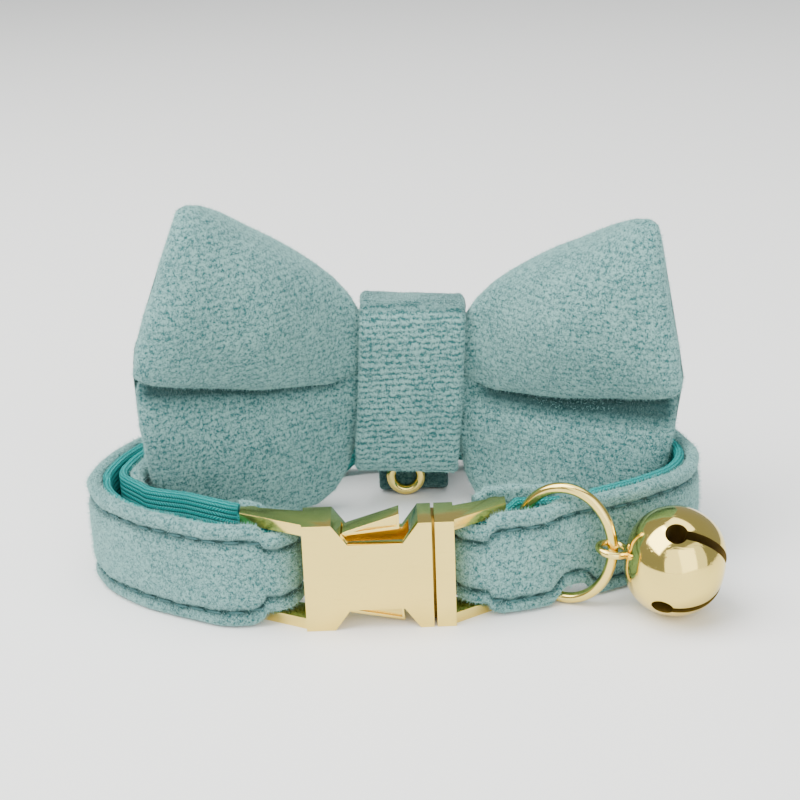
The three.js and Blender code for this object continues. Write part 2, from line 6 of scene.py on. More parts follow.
import bmesh
import bpy
from bpy.props import FloatProperty, FloatVectorProperty, IntProperty, PointerProperty
from mathutils import Matrix, Vector, noise


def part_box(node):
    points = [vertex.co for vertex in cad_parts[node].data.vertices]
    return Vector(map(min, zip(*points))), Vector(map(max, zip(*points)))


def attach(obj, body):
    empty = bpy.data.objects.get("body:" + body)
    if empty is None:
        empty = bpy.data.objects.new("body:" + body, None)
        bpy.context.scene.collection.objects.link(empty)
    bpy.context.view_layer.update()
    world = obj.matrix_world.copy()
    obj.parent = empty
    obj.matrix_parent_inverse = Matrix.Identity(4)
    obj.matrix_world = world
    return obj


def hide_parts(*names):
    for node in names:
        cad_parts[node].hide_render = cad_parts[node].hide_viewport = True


bl_info = {
    "name": "Bow tie collar",
    "version": (1, 0, 0),
    "blender": (4, 5, 0),
    "location": "3D View > Sidebar > Collar",
    "description": "Builds a velvet pet collar with a bow, a buckle, a ring and a bell",
    "category": "Object",
}

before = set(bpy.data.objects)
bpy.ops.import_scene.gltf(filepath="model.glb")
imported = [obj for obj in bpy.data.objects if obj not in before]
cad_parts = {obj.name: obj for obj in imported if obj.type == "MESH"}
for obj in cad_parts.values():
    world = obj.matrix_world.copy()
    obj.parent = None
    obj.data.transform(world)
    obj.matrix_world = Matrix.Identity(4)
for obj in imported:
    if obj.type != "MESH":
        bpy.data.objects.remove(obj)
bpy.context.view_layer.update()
MM = 0.001
BODY = "collar"
# The photograph's measures put the buckle's left end here, and its front at y = 0
BUCKLE_LEFT = -22.2
socket_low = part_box("buckle_socket")[0]
SHIFT = Vector((socket_low.x / MM - BUCKLE_LEFT, socket_low.y / MM, 0.0))


def placed(x, y, z):
    """A point measured in millimetres from the buckle, in metres in the frame."""
    return Vector((x + SHIFT.x, y + SHIFT.y, z)) * MM


# Settings


class StrapSettings(bpy.types.PropertyGroup):
    """Sizes and colours of the strap."""

    velvet_thick: FloatProperty(name="Velvet thickness", description="Outer layer with its pile",
                                default=0.0018, unit="LENGTH", subtype="DISTANCE")
    stitch_length: FloatProperty(name="Stitch length", description="From needle hole to needle hole",
                                 default=0.0027, unit="LENGTH", subtype="DISTANCE")
    colour: FloatVectorProperty(name="Velvet", description="Colour of the pile", subtype="COLOR", size=3,
                                min=0, max=1, default=(0.266, 0.478, 0.455))
    deep_colour: FloatVectorProperty(name="Velvet depth", description="Colour between the pile's tufts",
                                     subtype="COLOR", size=3, min=0, max=1, default=(0.041, 0.148, 0.151))
    webbing_colour: FloatVectorProperty(name="Webbing", description="Colour of the braid", subtype="COLOR",
                                        size=3, min=0, max=1, default=(0.008, 0.375, 0.360))


class BowSettings(bpy.types.PropertyGroup):
    """Sizes of the bow."""

    reach: FloatProperty(name="Reach", description="From the knot's middle to a wing's end", default=0.0402,
                         unit="LENGTH", subtype="DISTANCE")
    thickness: FloatProperty(name="Thickness", description="Of a stuffed wing", default=0.015,
                             unit="LENGTH", subtype="DISTANCE")
    roll: FloatProperty(name="Roll", description="How far the bow leans", default=math.radians(4),
                        unit="ROTATION", subtype="ANGLE")


class MetalSettings(bpy.types.PropertyGroup):
    """Finish of the metal parts."""

    colour: FloatVectorProperty(name="Gold", description="Colour of the plating", subtype="COLOR", size=3,
                                min=0, max=1, default=(0.89, 0.69, 0.195))
    edge: FloatProperty(name="Edge", description="Width of the bevels on the cast parts", default=0.00028,
                        unit="LENGTH", subtype="DISTANCE")
    bell_sides: IntProperty(name="Bell sides", description="Steps round the bell", default=96, min=24)


class StageSettings(bpy.types.PropertyGroup):
    """The floor and the camera's lens."""

    floor: FloatVectorProperty(name="Floor", description="Colour of the floor", subtype="COLOR", size=3,
                               min=0, max=1, default=(0.93, 0.93, 0.92))
    lens: FloatProperty(name="Lens", description="Camera's focal length in millimetres", default=75.6)


# Meshes


def finished(name, bm, material, replaced=(), body=BODY):
    """Makes the piece from its bmesh, and fixes it to its body."""
    mesh = bpy.data.meshes.new(name)
    bm.to_mesh(mesh)
    bm.free()
    for polygon in mesh.polygons:
        polygon.use_smooth = True
    piece = bpy.data.objects.new(name, mesh)
    bpy.context.scene.collection.objects.link(piece)
    piece.data.materials.append(bpy.data.materials[material])
    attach(piece, body)
    if replaced:
        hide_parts(*replaced)
    return piece


SHADE = "Shade"  # painted shade, from 0 to 1: in stitch lines, the bow's pleat, on the knot's top and on the band under the knot


def wrapped(along, around, place, length, girth, closed_along=False):
    """A grid rolled into a closed tube: place(i, j) gives each point in metres for its two step numbers.
    Its UV map holds the distance along the piece and the distance around it, in metres."""
    bm = bmesh.new()
    bmesh.ops.create_grid(bm, x_segments=along, y_segments=around, size=0.5)
    layer = bm.loops.layers.uv.new("Cloth")
    shade = bm.verts.layers.float.new(SHADE)
    for face in bm.faces:
        for loop in face.loops:
            loop[layer].uv = ((loop.vert.co.x + 0.5) * length, (loop.vert.co.y + 0.5) * girth)
    for vert in bm.verts:
        i = round((vert.co.x + 0.5) * along)
        j = round((vert.co.y + 0.5) * around)
        found = place(i % along if closed_along else i, j % around)
        # A second value from place is painted shade, kept in the Shade attribute
        if isinstance(found, tuple):
            found, vert[shade] = found
        vert.co = found
    bmesh.ops.remove_doubles(bm, verts=bm.verts, dist=1e-7)
    if not closed_along:
        open_edges = [e for e in bm.edges if e.is_boundary]
        bmesh.ops.holes_fill(bm, edges=open_edges, sides=0)
    bmesh.ops.recalc_face_normals(bm, faces=bm.faces)
    return bm


def smooth_step(t):
    """Rises smoothly from 0 to 1 as t does."""
    t = min(1.0, max(0.0, t))
    return t * t * (3 - 2 * t)


def between(rows, at):
    """Reads a table of (place, value) rows, smoothly between rows."""
    if at <= rows[0][0]:
        return rows[0][1]
    for (a, va), (b, vb) in zip(rows, rows[1:]):
        if at <= b:
            return va + (vb - va) * smooth_step((at - a) / (b - a))
    return rows[-1][1]


def straight(rows, at):
    """Reads a table of (place, value) rows, straight between rows."""
    if at <= rows[0][0]:
        return rows[0][1]
    for (a, va), (b, vb) in zip(rows, rows[1:]):
        if at <= b:
            return va + (vb - va) * (at - a) / (b - a)
    return rows[-1][1]


def curve_through(points, closed=False, fine=24):
    """A smooth line through points, as many close points: a centripetal Catmull-Rom curve."""
    count = len(points)
    spans = count if closed else count - 1
    line = []
    for i in range(spans):
        p1, p2 = points[i], points[(i + 1) % count]
        p0 = points[i - 1] if closed or i > 0 else p1 * 2 - p2
        p3 = points[(i + 2) % count] if closed or i + 2 < count else p2 * 2 - p1
        d0, d1, d2 = (max((b - a).length ** 0.5, 1e-4) for a, b in ((p0, p1), (p1, p2), (p2, p3)))
        t1 = ((p1 - p0) / d0 - (p2 - p0) / (d0 + d1) + (p2 - p1) / d1) * d1
        t2 = ((p2 - p1) / d1 - (p3 - p1) / (d1 + d2) + (p3 - p2) / d2) * d1
        for k in range(fine):
            t = k / fine
            a = 2 * t ** 3 - 3 * t ** 2 + 1
            b = t ** 3 - 2 * t ** 2 + t
            c = -2 * t ** 3 + 3 * t ** 2
            d = t ** 3 - t ** 2
            line.append(p1 * a + t1 * b + p2 * c + t2 * d)
    line.append(points[0].copy() if closed else points[-1].copy())
    return line


class Run:
    """A line of close points, read by the distance along it."""

    def __init__(self, line):
        self.line = line
        self.at = [0.0]
        for a, b in zip(line, line[1:]):
            self.at.append(self.at[-1] + (b - a).length)
        self.length = self.at[-1]

    def point(self, distance):
        distance = min(self.length, max(0.0, distance))
        low, high = 0, len(self.at) - 1
        while high - low > 1:
            middle = (low + high) // 2
            if self.at[middle] <= distance:
                low = middle
            else:
                high = middle
        span = self.at[high] - self.at[low]
        share = (distance - self.at[low]) / span if span > 0 else 0.0
        return self.line[low].lerp(self.line[high], share)

    def along(self, distance):
        step = 0.15
        a, b = self.point(distance - step), self.point(distance + step)
        return (b - a).normalized()


# The strap's line, in millimetres

GAP = 0.3
VELVET_THICK, WEBBING_THICK, STRAP_HIGH = 1.8, 1.3, 15
LAYER = VELVET_THICK + GAP + WEBBING_THICK
LOOP_WIDTH, LOOP_DEPTH, LOOP_MIDDLE = 87.9, 57.0, -1.25
# Points of the loop's outside, in shares of its width from the middle and of its depth from the front
LOOP = [
    (-0.265, 0.030), (-0.332, 0.079), (-0.409, 0.154), (-0.467, 0.246), (-0.500, 0.362), (-0.491, 0.484),
    (-0.464, 0.586), (-0.401, 0.728), (-0.293, 0.868), (-0.145, 0.970), (0.014, 1.000), (0.174, 0.977),
    (0.322, 0.884), (0.424, 0.738), (0.481, 0.563), (0.500, 0.390), (0.467, 0.272), (0.403, 0.195),
    (0.344, 0.148), (0.276, 0.099), (0.216, 0.058),
]
# By shares of the left tail's length: its space from the strap, in times the space at the bar
LEFT_TAIL = [(0.0, 1.0), (0.16, 1.60), (0.34, 1.70), (0.56, 1.0), (0.80, 0.22), (1.0, 0.17)]
BAR_RADIUS = 1.2
BAR_SPACE = 2 * (BAR_RADIUS + GAP)
BAR_Y = LOOP_DEPTH * LOOP[0][1] + LAYER + GAP + BAR_RADIUS
FOLD_RADIUS = BAR_RADIUS + GAP + WEBBING_THICK + GAP / 2
SOCKET_BAR_X, PLUG_BAR_X = -18.9, 10.9
FRONT_AT_BAR = BAR_Y - LAYER - GAP - BAR_RADIUS
LEFT_TAIL_LENGTH, RIGHT_TAIL_LENGTH = 50.0, 13.0
BUCKLE_HEIGHT, ARM_THICK = 15.4, 1.6


def loop_outside():
    points = [Vector((SOCKET_BAR_X, FRONT_AT_BAR, 0))]
    points += [Vector((LOOP_MIDDLE + x * LOOP_WIDTH, y * LOOP_DEPTH, 0)) for x, y in LOOP]
    points.append(Vector((PLUG_BAR_X, FRONT_AT_BAR, 0)))
    return Run(curve_through(points))


OUTSIDE = loop_outside()


def station_at(distance):
    """A point of the loop's outside, and the direction inwards."""
    along = OUTSIDE.along(distance)
    inward = Vector((along.y, -along.x, 0))
    if distance <= 0.05 or distance >= OUTSIDE.length - 0.05:
        inward = Vector((0, 1, 0))
    return OUTSIDE.point(distance), inward


def seam_stations(step):
    """The strap's seam line, from the left tail's end round the loop to the right tail's end."""
    stations = []

    def tail(start, length, direction, space):
        steps = round(length / step)
        run = []
        for i in range(steps, 0, -1):
            along = length * i / steps
            point, inward = station_at(start + direction * along)
            out = LAYER + space(along / length) + WEBBING_THICK + GAP / 2
            run.append({"at": point + inward * out, "away": -inward, "tail": along})
        return run

    def fold(bar_x, start, end):
        steps = max(8, round(FOLD_RADIUS * math.pi / step))
        arc = []
        for i in range(steps + 1):
            angle = start + (end - start) * i / steps
            out = Vector((math.cos(angle), math.sin(angle), 0))
            arc.append({"at": Vector((bar_x, BAR_Y, 0)) + out * FOLD_RADIUS, "away": -out, "fold": True})
        return arc

    stations += tail(0, LEFT_TAIL_LENGTH, 1, lambda t: BAR_SPACE * between(LEFT_TAIL, t))
    stations += fold(SOCKET_BAR_X, math.pi / 2, -math.pi / 2)
    steps = round(OUTSIDE.length / step)
    for i in range(1, steps):
        point, inward = station_at(OUTSIDE.length * i / steps)
        stations.append({
            "at": point + inward * (VELVET_THICK + GAP / 2), "away": inward,
            "outer": min(i, steps - i) * OUTSIDE.length / steps, "plug_side": i > steps / 2,
        })
    stations += fold(PLUG_BAR_X, -math.pi / 2, -1.5 * math.pi)
    right = tail(OUTSIDE.length, RIGHT_TAIL_LENGTH, -1,
                 lambda t: BAR_SPACE + (0.5 - BAR_SPACE) * smooth_step((t - 0.45) / 0.55))
    stations += reversed(right)
    travelled = 0.0
    for i, station in enumerate(stations):
        if i:
            travelled += (station["at"] - stations[i - 1]["at"]).length
        station["s"] = travelled
    return stations


RING_MIDDLE, RING_HIGH, RING_WIRE = 9.1, 17.8, 0.75
RING_REACH, RING_TURN, RING_FOOT_X = 12.3, math.radians(22), 16.4
RING_LOW = RING_MIDDLE - RING_HIGH / 2 + 2 * RING_WIRE
# Each layer of the strap: how far past the bar it starts to widen, how much its top edge differs on
# the left tail, the right tail and the front left stretch, and the notch where the ring's wire crosses it
VELVET = {
    "reach": -1.4, "left_tail": -2.9, "right_tail": 0.5, "front_left": 0.0,
    "notch": {"x": 22.4, "half": 1.1, "taper": 2.6, "low": RING_LOW + 0.5, "high": 15.6},
}
WEBBING = {
    "reach": 3.8, "left_tail": -0.4, "right_tail": -0.8, "front_left": -0.9,
    "notch": {"x": 20.4, "half": 3.4, "taper": 2.6, "low": RING_LOW + GAP + 2.3, "high": 13.2},
}
WIDENING = 3.6
# Where the holding band goes round the strap's rear: half the raised stretch, and each edge's rise
BAND_STRETCH, BAND_LIFT, BAND_RISE = 9, 1.9, 0.95


def edges_at(station, layer):
    """The lower and upper edge of one layer of the strap, in millimetres."""
    at, tail, outer = station["at"], station.get("tail", 0), station.get("outer")
    drawn = 1.0
    if "fold" not in station:
        drawn = 1 - smooth_step((station.get("tail", outer) - layer["reach"]) / WIDENING)
    low = (ARM_THICK + GAP) * drawn
    high = STRAP_HIGH + (BUCKLE_HEIGHT - ARM_THICK - GAP - STRAP_HIGH) * drawn
    if tail > 3 and at.x < 0:
        high += layer["left_tail"] * smooth_step((tail - 3) / 6) * (1 - smooth_step((tail - 30) / 10))
    if tail > 2 and at.x > 0:
        high += layer["right_tail"]
    if outer is None:
        return low, high
    if at.x < -12 and at.y < 22:
        high += layer["front_left"] * smooth_step((outer - 4) / 5)
    if at.y > LOOP_DEPTH / 2:
        rear = 1 - smooth_step((abs(at.x - BOW_X) - BAND_STRETCH) / WIDENING)
        low += BAND_LIFT * rear
        high += BAND_RISE * rear
    elif station["plug_side"]:
        notch = layer["notch"]
        lifted = 1 - smooth_step((abs(at.x - notch["x"]) - notch["half"]) / notch["taper"])
        low = max(low, notch["low"] * lifted)
        high += (notch["high"] - STRAP_HIGH) * lifted
    return low, high


def hump(distance, width):
    """A soft bump that is 1 in its middle."""
    return math.exp(-((distance / width) ** 2))


def soft_noise(x, y, seed):
    return noise.noise(Vector((x, y, seed)))


def seam_height(s, low, high, upper):
    """Where a stitch line runs, in millimetres up: it wanders a little as it is sewn by hand."""
    wander = 0.22 * soft_noise(s / 7.0, 0.0, 3.1 if upper else 8.7) + 0.12 * soft_noise(s / 2.3, 1.0, 5.3)
    return (high - 2.35 + wander) if upper else (low + 2.1 + wander)


def strap_velvet(settings):
    """The outer layer: a hemmed velvet strip, drawn in along two lines of stitches."""
    stations = seam_stations(0.55)
    across, over, inside, under = 46, 7, 14, 7
    thick, stitch = settings.velvet_thick / MM, settings.stitch_length / MM
    half = thick / 2
    turn = half * 0.8
    stitch_dip, stitch_wide, pull_dip, pull_wide = 0.60, 0.36, 0.22, 1.0
    hem_rise, hem_inset, hem_wide = 0.20, 0.9, 0.5

    def outer_face(s, z, low, high):
        puff = 0.16 * math.sin(math.pi * (z - low) / (high - low)) + 0.10 * soft_noise(s / 5.0, z / 3.0, 2.2)
        hole = 0.72 + 0.28 * math.cos(2 * math.pi * s / stitch)
        dip = 0.0
        for upper in (True, False):
            away = z - seam_height(s, low, high, upper)
            dip += stitch_dip * hole * hump(away, stitch_wide) + pull_dip * hump(away, pull_wide)
        rim = hem_rise * (hump(z - low - hem_inset, hem_wide) + hump(high - hem_inset - z, hem_wide))
        # The second value paints shade in the stitch lines, as deep as their dip
        return -(thick + GAP / 2) - puff * 0.6 + dip - rim * 0.4, min(1.0, dip / stitch_dip)

    def section(station, j):
        """A point of the layer's section: its height, how far out it lies, and how deep in a seam, which
        sets its painted shade.
        """
        low, high = edges_at(station, VELVET)
        s = station["s"]
        low = max(low + 0.22 * soft_noise(s / 3.6, 0, 1.7) + 0.12, 0.03)
        high += 0.22 * soft_noise(s / 4.4, 0, 6.1) - 0.05
        flat = high - low - 2 * turn
        middle = -(GAP / 2) - half
        if j <= across:
            z = low + turn + flat * j / across
            return z, *outer_face(s, z, low, high)
        j -= across
        if j <= over:
            angle = math.pi * j / over
            return high - turn + turn * math.sin(angle), middle - half * math.cos(angle), 0
        j -= over
        if j <= inside:
            return high - turn - flat * j / inside, -GAP / 2, 0
        angle = math.pi * (j - inside) / under
        return low + turn - turn * math.sin(angle), middle + half * math.cos(angle), 0

    def place(i, j):
        station = stations[i]
        z, out, deep = section(station, j)
        p = station["at"] + station["away"] * out
        return placed(p.x, p.y, z), deep

    girth = 2 * (STRAP_HIGH + VELVET_THICK) * MM
    around = across + over + inside + under
    return wrapped(len(stations) - 1, around, place, stations[-1]["s"] * MM, girth), stations


def strap_webbing():
    """The lining: webbing braided on the slant, with the braid's knuckles along both edges."""
    stations = seam_stations(0.30)
    across, over = 22, 4
    edge, pitch, row_high, knuckle, weave_deep = 0.4, 1.25, 0.85, 0.13, 0.025

    def place(i, j):
        station = stations[i]
        s = station["s"]
        low, high = edges_at(station, WEBBING)
        low, high = low + 0.10 + edge, high - 0.08 - edge
        inner = j > across + over
        step = j - (across + over) * inner
        angle = math.pi * max(0, step - across) / over
        rise = (high - low) * min(step, across) / across
        rise += (edge + knuckle * abs(math.sin(math.pi * s / pitch))) * math.sin(angle)
        z = high - rise if inner else low + rise
        out = 0.5 + 0.5 * math.cos(angle) * (1 if inner else -1)
        row = z / row_high
        weave = weave_deep * math.sin(math.pi * row) * math.cos(math.pi * (s / pitch + 0.5 * round(row)))
        depth = GAP / 2 + WEBBING_THICK * (1 - out) + (weave if out < 0.5 else -weave)
        p = station["at"] + station["away"] * depth
        return placed(p.x, p.y, z)

    girth = 2 * (STRAP_HIGH + WEBBING_THICK) * MM
    return wrapped(len(stations) - 1, 2 * (across + over), place, stations[-1]["s"] * MM, girth)


def stitches(stations, settings):
    """The threads of the two stitch lines, one short bead of thread from hole to hole."""
    bm = bmesh.new()
    pitch = settings.stitch_length / MM
    half_long, half_wide, half_thick, sunk = pitch * 0.40, 0.20, 0.19, 0.36
    size = Matrix.Diagonal((half_long * MM, half_wide * MM, half_thick * MM, 1))
    lying = Matrix.Rotation(math.pi / 2, 4, "Y")
    index = 0
    for number in range(1, int(stations[-1]["s"] / pitch) - 1):
        middle = (number + 0.5) * pitch
        while index < len(stations) - 2 and stations[index + 1]["s"] < middle:
            index += 1
        station, following = stations[index], stations[index + 1]
        if "fold" in station:
            continue
        low, high = edges_at(station, VELVET)
        tangent = (following["at"] - station["at"]).normalized()
        at = station["at"] - station["away"] * (VELVET_THICK + GAP / 2 - sunk)
        turn = Matrix((tangent, station["away"], Vector((0, 0, 1)))).transposed().to_4x4()
        for upper in (True, False):
            where = Matrix.Translation(placed(at.x, at.y, seam_height(middle, low, high, upper)))
            bmesh.ops.create_uvsphere(bm, u_segments=8, v_segments=6, radius=1,
                                      matrix=where @ turn @ size @ lying)
    return bm


# The bow, in millimetres

BOW_X, BOW_UP, KNOT_Y, SWEEP, WING_REACH = 1.7, 22.0, 42.4, 19.5, 40.2
# A wing's outline from the bow's middle: heights of its top, bottom and pleat by the distance out, and the
# distance out of its end by the share of its height
TOP = [(8, 9.2), (9.5, 11.8), (12, 14.6), (14.6, 16.8), (17.5, 18.9), (21, 21.2), (24, 23.0), (28.5, 26.1),
       (31, 27.5), (33.4, 28.1)]
BOTTOM = [(8, -12.0), (9.5, -17.0), (11, -19.6), (13.5, -21.6), (18, -22.2), (26, -22.2), (36, -21.4)]
END = [(0.0, 32.6), (0.04, 35.0), (0.15, 37.6), (0.338, 39.2), (0.42, 39.5), (0.462, 38.7), (0.49, 39.9),
       (0.56, 39.4), (0.64, 38.5), (0.72, 37.4), (0.854, 35.8), (0.948, 34.5), (0.985, 33.9), (1.0, 32.7)]
FOLD = [(8, 0.2), (16, 0.9), (23, 1.5), (32, 3.1), (39, 5.0)]


def in_bow(x, y, z, roll):
    up = max(z * math.cos(roll) - x * math.sin(roll) + BOW_UP, 0.35)
    return placed(BOW_X + x * math.cos(roll) + z * math.sin(roll), y, up)


def bow_wings(settings):
    """Both stuffed wings and the waist between them: an upper pillow that hangs over a lower one."""
    columns, upper, lower, back = 66, 26, 24, 30
    around = upper + lower + back
    reach = settings.reach / MM
    thick = settings.thickness / MM
    waist, waist_share, fold_share = 8.0, 0.10, 0.47
    overhang, jut, lower_fullness, right_trim = 2.9, 0.26, 0.84, 1.3
    # The pleat's shadow: where it ends on the lower pillow, how much further on the right, and its fade
    shadow_end, shadow_more, shadow_fade = 0.230, 0.027, 0.075

    def place(i, j):
        u = (i - columns) / columns
        side = 1 if u >= 0 else -1
        u = abs(u)
        if j <= upper:
            t, lobe = j / upper, "upper"
        elif j <= upper + lower:
            t, lobe = (j - upper) / lower, "lower"
        else:
            t, lobe = (j - upper - lower) / back, "back"
        inner = smooth_step(u / waist_share)
        spread = max(0.0, (u - waist_share) / (1 - waist_share))
        spread = 1 - (1 - spread) ** 1.35
        if lobe == "upper":
            share = 1 - (1 - fold_share) * (1 - math.cos(math.pi * t)) / 2
        elif lobe == "lower":
            share = fold_share * (1 + math.cos(math.pi * t)) / 2
        else:
            share = (1 - math.cos(math.pi * t)) / 2
        end = straight(END, share) * reach / WING_REACH
        if side > 0:
            end -= right_trim * math.sin(math.pi * share)
        x = waist * inner + (end - waist) * spread if u > waist_share else waist * u / waist_share
        top, bottom = straight(TOP, x), straight(BOTTOM, x)
        fold = straight(FOLD, x)
        if share >= fold_share:
            z = fold + (top - fold) * (share - fold_share) / (1 - fold_share)
        else:
            z = bottom + (fold - bottom) * share / fold_share
        swell = 0.29 + 0.71 * smooth_step((x - 7.4) / 15.0)
        closing = max(0.0, 1 - spread ** 5.0) ** 0.5
        half = thick / 2 * swell * closing
        depth = 0.12 + 0.86 * smooth_step((x - 6) / 6) * (1 - 0.55 * smooth_step((spread - 0.75) / 0.25))
        pillow = max(0.0, math.sin(math.pi * t)) ** 0.62
        if lobe == "upper":
            floor = 1 - depth if t > 0.5 else 0.0
            if t > 0.5:
                pillow = max(0.0, math.sin(math.pi * t)) ** 0.9
            out = -(floor + (1 - floor) * pillow) * (1 + jut * pillow * smooth_step((x - 9) / 6))
            z -= overhang * smooth_step((x - 6) / 7) * hump(t - 0.84, 0.13) * (0.35 + 0.65 * closing)
        elif lobe == "lower":
            floor = 1 - depth if t < 0.5 else 0.0
            if t < 0.5:
                pillow = lower_fullness * max(0.0, math.sin(math.pi * t)) ** 1.5
            else:
                pillow *= lower_fullness
            out = -(floor + (1 - floor) * pillow)
        else:
            out = pillow
        y = KNOT_Y - SWEEP * (x / WING_REACH) ** 2 + half * out
        # Soft creases that fan out from the knot, and a slack surface further out
        angle = math.atan2(z, max(x - 4, 0.5))
        near = math.exp(-(max(0.0, x - 8) / 7.5))
        crease_seed, slack_seed = (7.7, 12.1) if lobe == "back" else (4.4, 9.3)
        crease = 0.75 * near * soft_noise(angle * 5.2 + side * 9, 0.4 * side, crease_seed)
        slack = 0.42 * soft_noise(side * x / 11, z / 9, slack_seed)
        fine = 0.10 * soft_noise(side * x / 2.6, z / 2.2, 15.5)
        face = 1 if out > 0 else -1
        y += face * min(1.0, half / 3.0) * (crease + slack + fine)
        x += 0.30 * (1 - closing) * soft_noise(z / 2.4, side, 21.0)
        # Painted shade: the pleat's shadow on the lower pillow, and the upper pillow's underside
        painted_shade = 0.0
        if lobe == "upper":
            painted_shade = hump(t - 1.0, 0.10) * smooth_step((x - 8) / 4)
        elif lobe == "lower":
            painted_shade = 1 - smooth_step((t - shadow_end - shadow_more * side) / shadow_fade)
            painted_shade *= smooth_step((x - 8) / 5) * min(1, closing * 2)
        return in_bow(side * x, y, z, settings.roll), painted_shade

    bm = wrapped(2 * columns, around, place, 0.12, 0.1)
    for vert in bm.verts:
        vert.co.z = max(vert.co.z, 0.35 * MM)
    return bm


PROFILE_STEPS = 44


def band_profile(width, thick, hem, j, bulge=0.0):
    """A flat band's section with rounded, slightly thicker hems: (across, out) in millimetres."""
    face, turn = 17, 5
    half, r = width / 2, thick / 2
    if j <= face:
        x = -half + r + (width - 2 * r) * j / face
        puff = hem * (math.exp(-(((half - abs(x)) - 0.9) / 0.8) ** 2)) + bulge * (1 - (x / half) ** 2)
        return x, r + puff
    if j <= face + turn:
        angle = math.pi * (j - face) / turn
        return half - r + r * math.sin(angle), r * math.cos(angle) + hem * 0.4 * max(0, math.cos(angle))
    if j <= 2 * face + turn:
        x = half - r - (width - 2 * r) * (j - face - turn) / face
        return x, -r
    angle = math.pi * (j - 2 * face - turn) / turn
    return -half + r - r * math.sin(angle), -r * math.cos(angle) + hem * 0.4 * max(0, -math.cos(angle))


def bow_knot(settings):
    """The knot: a band of velvet gathered round the bow's waist, with low ribs across it."""
    steps = 132
    low, tall, deep, wide, wall = 6.0, 27.6, 10.0, 16.0, 1.5
    middle = low + tall / 2 - BOW_UP

    def place(i, j):
        turn = 2 * math.pi * i / steps
        c, s = math.cos(turn), math.sin(turn)
        power = 2 / 4.2
        cy = math.copysign(abs(c) ** power, c)
        cz = math.copysign(abs(s) ** power, s)
        x, out = band_profile(wide, wall, 0.16, j, bulge=0.10)
        hug = 1 - 0.018 * (1 - (x / 8) ** 2) * abs(cy)
        rib = 0.055 * math.sin(i * 2.4) + 0.10 * soft_noise(x / 3.2, i / 9.0, 31.0)
        waver = 0.22 * soft_noise(i / 10.0, math.copysign(1.0, x), 33.0) * abs(x / 8) ** 3
        if out <= 0:
            rib = 0.0
        reach = out - wall / 2 + rib
        y = (deep / 2 + reach) * cy * hug
        z = (tall / 2 + reach) * cz
        # Painted shade on the top of the knot
        shaded = 0.50 * smooth_step((cz - 0.86) / 0.10) * (out > 0)
        return in_bow(x + waver, KNOT_Y + y, z + middle, settings.roll), shaded

    return wrapped(steps, PROFILE_STEPS, place, 0.068, 0.035, closed_along=True)


BAND_THICK, BAND_WIDTH = 1.2, 11.0
REAR_INSIDE = LOOP_DEPTH - LAYER
BAND_FRONT = KNOT_Y + 3.4
BAND = [
    (BAND_FRONT, 1.3), (BAND_FRONT, 3.2), (BAND_FRONT + 0.1, 5.2), (KNOT_Y + 6.5, 8.4),
    (REAR_INSIDE - 1.6, 15.76), (REAR_INSIDE + 0.2, 17.05), (LOOP_DEPTH + 0.7, 16.85),
    (LOOP_DEPTH + 1.0, 13.5), (LOOP_DEPTH + 1.0, 3.2), (LOOP_DEPTH - 0.4, 0.9), (REAR_INSIDE, 0.9),
]


def holding_band():
    """The band that holds the bow to the strap."""
    run = Run(curve_through([Vector((0, y, z)) for y, z in BAND], closed=True))
    steps = 150

    def place(i, j):
        distance = run.length * i / steps
        step = 0.2
        before = run.point((distance - step) % run.length)
        after = run.point((distance + step) % run.length)
        along = (after - before).normalized()
        point = run.point(distance)
        x, out = band_profile(BAND_WIDTH, BAND_THICK, 0.10, j)
        out = -out * 0.96
        # Painted shade on the band's front, under the knot
        painted_shade = 0.85 if point.y < BAND_FRONT + 1.5 else 0.0
        return placed(BOW_X + x, point.y + along.z * out, max(point.z - along.y * out, 0.12)), painted_shade

    return wrapped(steps, PROFILE_STEPS, place, run.length * MM, 0.024, closed_along=True)


# Pile


def pile(source, count, length, seed):
    """Velvet's pile where it catches the light: short hairs that stand on a piece, leaning a little down."""
    rng = random.Random(seed)
    mesh = source.data
    mesh.calc_loop_triangles()
    triangles = [(t.vertices[:], t.area) for t in mesh.loop_triangles]
    total = sum(area for _, area in triangles)
    half_wide, rooted, shade_limit, clear_of_floor = 0.000032, 0.15, 0.35, 0.0001
    shade = mesh.attributes.get(SHADE)
    bm = bmesh.new()
    carry = 0.0
    for corners, area in triangles:
        carry += count * area / total
        while carry >= 1:
            carry -= 1
            a, b = rng.random(), rng.random()
            if a + b > 1:
                a, b = 1 - a, 1 - b
            va, vb, vc = (mesh.vertices[k] for k in corners)
            at = va.co * (1 - a - b) + vb.co * a + vc.co * b
            normal = (va.normal * (1 - a - b) + vb.normal * a + vc.normal * b).normalized()
            lean = Vector((rng.gauss(0, 0.45), rng.gauss(0, 0.45), rng.gauss(0.1, 0.45)))
            way = (normal + lean).normalized()
            side = way.cross(Vector((rng.gauss(0, 1), rng.gauss(0, 1), rng.gauss(0, 1)))).normalized()
            tall = length * rng.uniform(0.55, 1.15)
            foot = at - normal * length * rooted
            tip = foot + way * tall
            # No hairs on side faces where shade is painted, so they don't lighten it
            in_painted_shade = shade is not None and shade.data[corners[0]].value > shade_limit and normal.z < 0.5
            if in_painted_shade or tip.z < clear_of_floor:
                continue
            hair = (foot - side * half_wide, foot + side * half_wide, tip)
            bm.faces.new([bm.verts.new(point) for point in hair])
    return bm


# Metal


